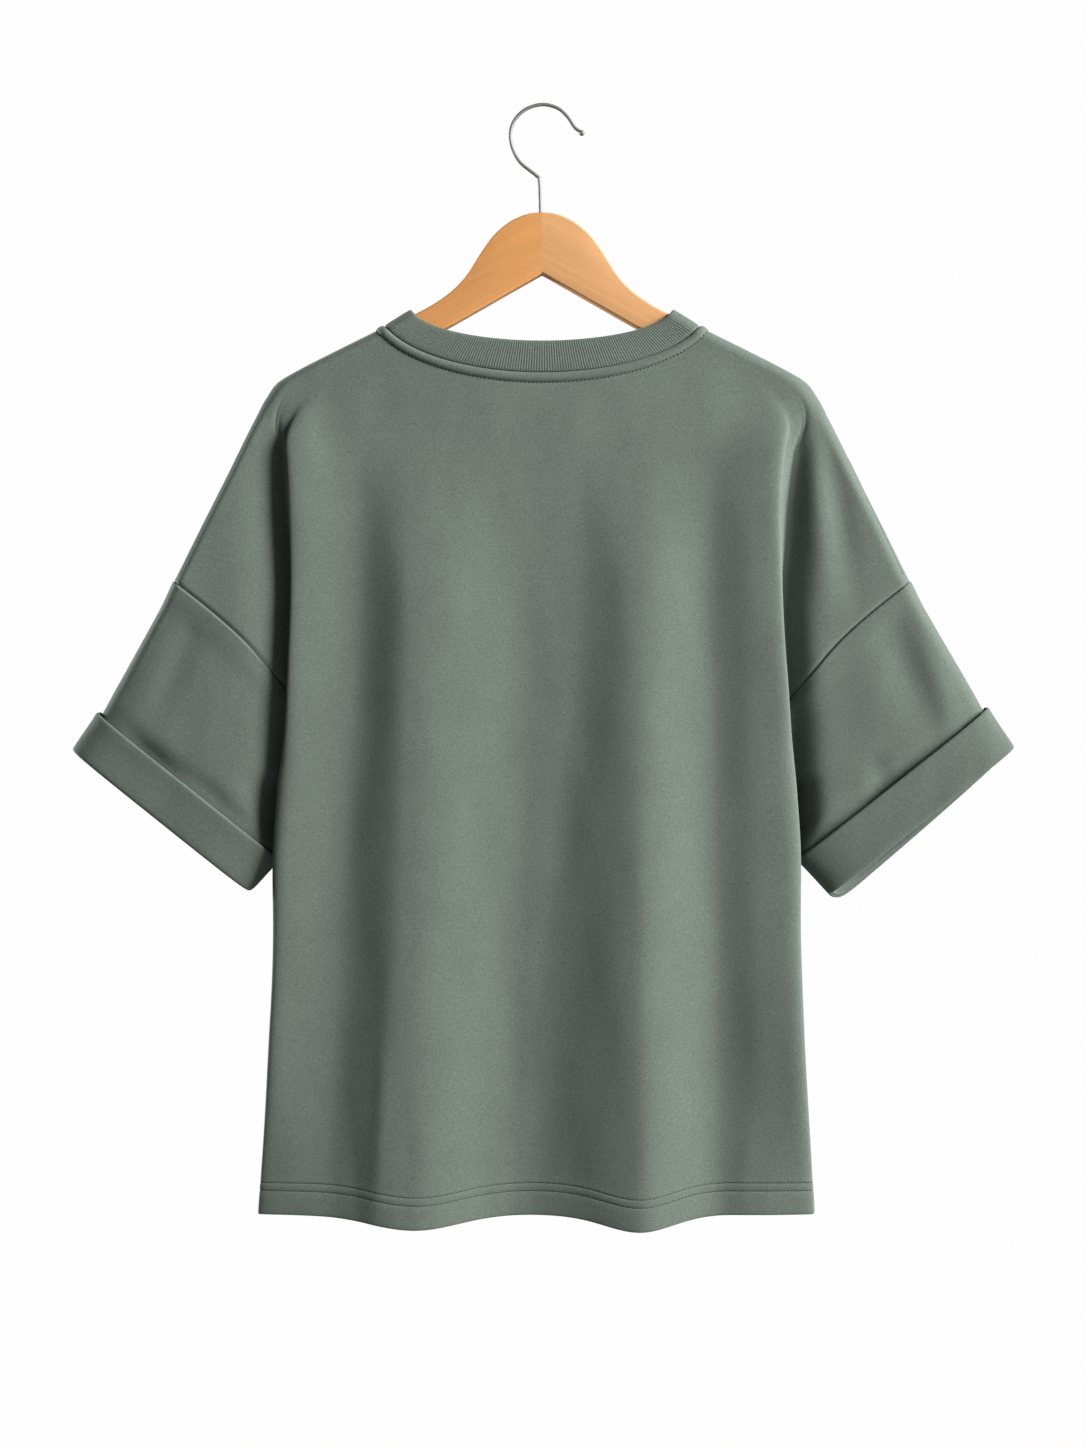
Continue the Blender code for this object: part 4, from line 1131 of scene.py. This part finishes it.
def dress(piece, node=None):
    """The piece rides with the part, and takes the place of the node that it dresses."""
    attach(piece, "root")
    if node:
        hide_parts(node)


jersey = cloth_material("jersey_body", JERSEY)
rib = cloth_material("rib", RIB)
thread = stitch_shade_material(STITCH_PAINTED_SHADE)

back_form = {"neck": BACK_NECK, "ridges": BACK_RIDGES, "flanks": BACK_FLANKS, "creases": BACK_CREASES}
front_form = {"neck": FRONT_NECK, "ridges": FRONT_RIDGES, "flanks": (), "creases": FRONT_CREASES}
back = make_panel("back_panel_cloth", -1, back_form, jersey)
front = make_panel("front_panel_cloth", 1, front_form, jersey)
for panel, name, area in ((back, "back", 0.43), (front, "front", 0.42)):
    piece = panel["object"]
    sewn = [make_panel_stitches(f"{name}_stitches", panel, thread)]
    if panel is back:
        rows = [(*shoulder_seam(side, back_form), *SEAM_STITCHES[side]) for side in SIDES]
        sewn.append(make_stitches("shoulder_seams", rows, jersey))
    for part in sewn:
        dress(part)
    dress(piece, f"{name}_panel")

for side, name in SIDES.items():
    sleeve = make_sleeve(side, back, front, shaded_sleeve_cloth("arm", side, ARM_PAINTED_SHADE[side]))
    cuff = make_cuff(side, sleeve["shares"], shaded_sleeve_cloth("cuff", side, CUFF_PAINTED_LIGHT_AND_SHADE[side]))
    for piece, node, flat, above in (
        (sleeve["object"], f"sleeve_{name}", (0.46, 0.17), back["object"].name),
        (cuff, f"cuff_{name}", (0.395, 0.045), sleeve["object"].name),
    ):
        dress(piece, node)

band = make_neckband(back, front, rib)
dress(band, "neckband")

for side, name in SIDES.items():
    dress(make_arm(side, wood_material(side)), f"hanger_arm_{name}")
dress(make_hook(chrome_material()), "hanger_hook")


# Studio
CAMERA_DISTANCE = 1.8
CAMERA_X, CAMERA_Z = 0.00085, -0.525
FRAME_HEIGHT = 1.2308
SENSOR = 36.0
FLOOR_Z = -1.30
FLOOR_HALF = 9.0
LIGHTS = {
    # place, size, power
    "key": ((5.5, -2.35, 1.75), 3.8, 985.0),
    "fill": ((-1.2, -2.6, 0.0), 1.6, 0.8),
    "rim": ((-3.2, 1.1, 0.3), 1.0, 170.0),
    "rear": ((1.6, 2.4, 0.7), 1.4, 14.0),
}
LIGHT_TARGET = (0.0, 0.0, -0.55)
WHITE = (1.0, 1.0, 1.0, 1.0)
WORLD_SEEN, WORLD_LIGHT = 0.99, 0.035


def make_floor():
    """A plain pale floor that shows as evenly bright as the background and lights the cloth softly."""
    mesh = bpy.data.meshes.new("floor")
    corners = [(x * FLOOR_HALF, y * FLOOR_HALF, FLOOR_Z) for x, y in ((-1, -1), (1, -1), (1, 1), (-1, 1))]
    mesh.from_pydata(corners, [], [(0, 1, 2, 3)])
    material, tree, shader = new_material("floor_paint")
    patch = noise(tree, coordinates(tree), 3.0, 2.0)
    tint(tree, shader, FLOOR, ramp(tree, patch, 0.98, 1.0))
    set_inputs(shader, Roughness=0.9)
    bright = add_node(tree, "ShaderNodeEmission", Strength=WORLD_SEEN)
    add_camera_switch(tree, shader, bright, tree.nodes["Material Output"].inputs["Surface"])
    mesh.materials.append(material)
    floor = add_object("floor", mesh)


def make_area_light(name, place, size, power):
    data = bpy.data.lights.new(name, "AREA")
    data.shape = "DISK"
    data.size = size
    data.energy = power
    light = add_object(name, data)
    light.location = place
    aim = Vector(LIGHT_TARGET) - Vector(place)
    light.rotation_euler = aim.to_track_quat("-Z", "Y").to_euler()


def make_world():
    world = bpy.data.worlds.new("studio")
    world.use_nodes = True
    tree = world.node_tree
    tree.nodes.clear()
    seen = add_node(tree, "ShaderNodeBackground", Color=WHITE, Strength=WORLD_SEEN)
    lit = add_node(tree, "ShaderNodeBackground", Color=WHITE, Strength=WORLD_LIGHT)
    out = add_node(tree, "ShaderNodeOutputWorld")
    add_camera_switch(tree, lit, seen, out.inputs["Surface"])
    bpy.context.scene.world = world


def make_camera():
    data = bpy.data.cameras.new("camera")
    data.sensor_width = SENSOR
    data.lens = SENSOR * CAMERA_DISTANCE / FRAME_HEIGHT
    camera = add_object("camera", data)
    camera.location = (CAMERA_X, -CAMERA_DISTANCE, CAMERA_Z)
    camera.rotation_euler = (math.radians(90.0), 0.0, 0.0)
    bpy.context.scene.camera = camera


make_floor()
for name, light in LIGHTS.items():
    make_area_light(name, *light)
make_world()
make_camera()
bpy.context.scene.view_settings.view_transform = "Standard"
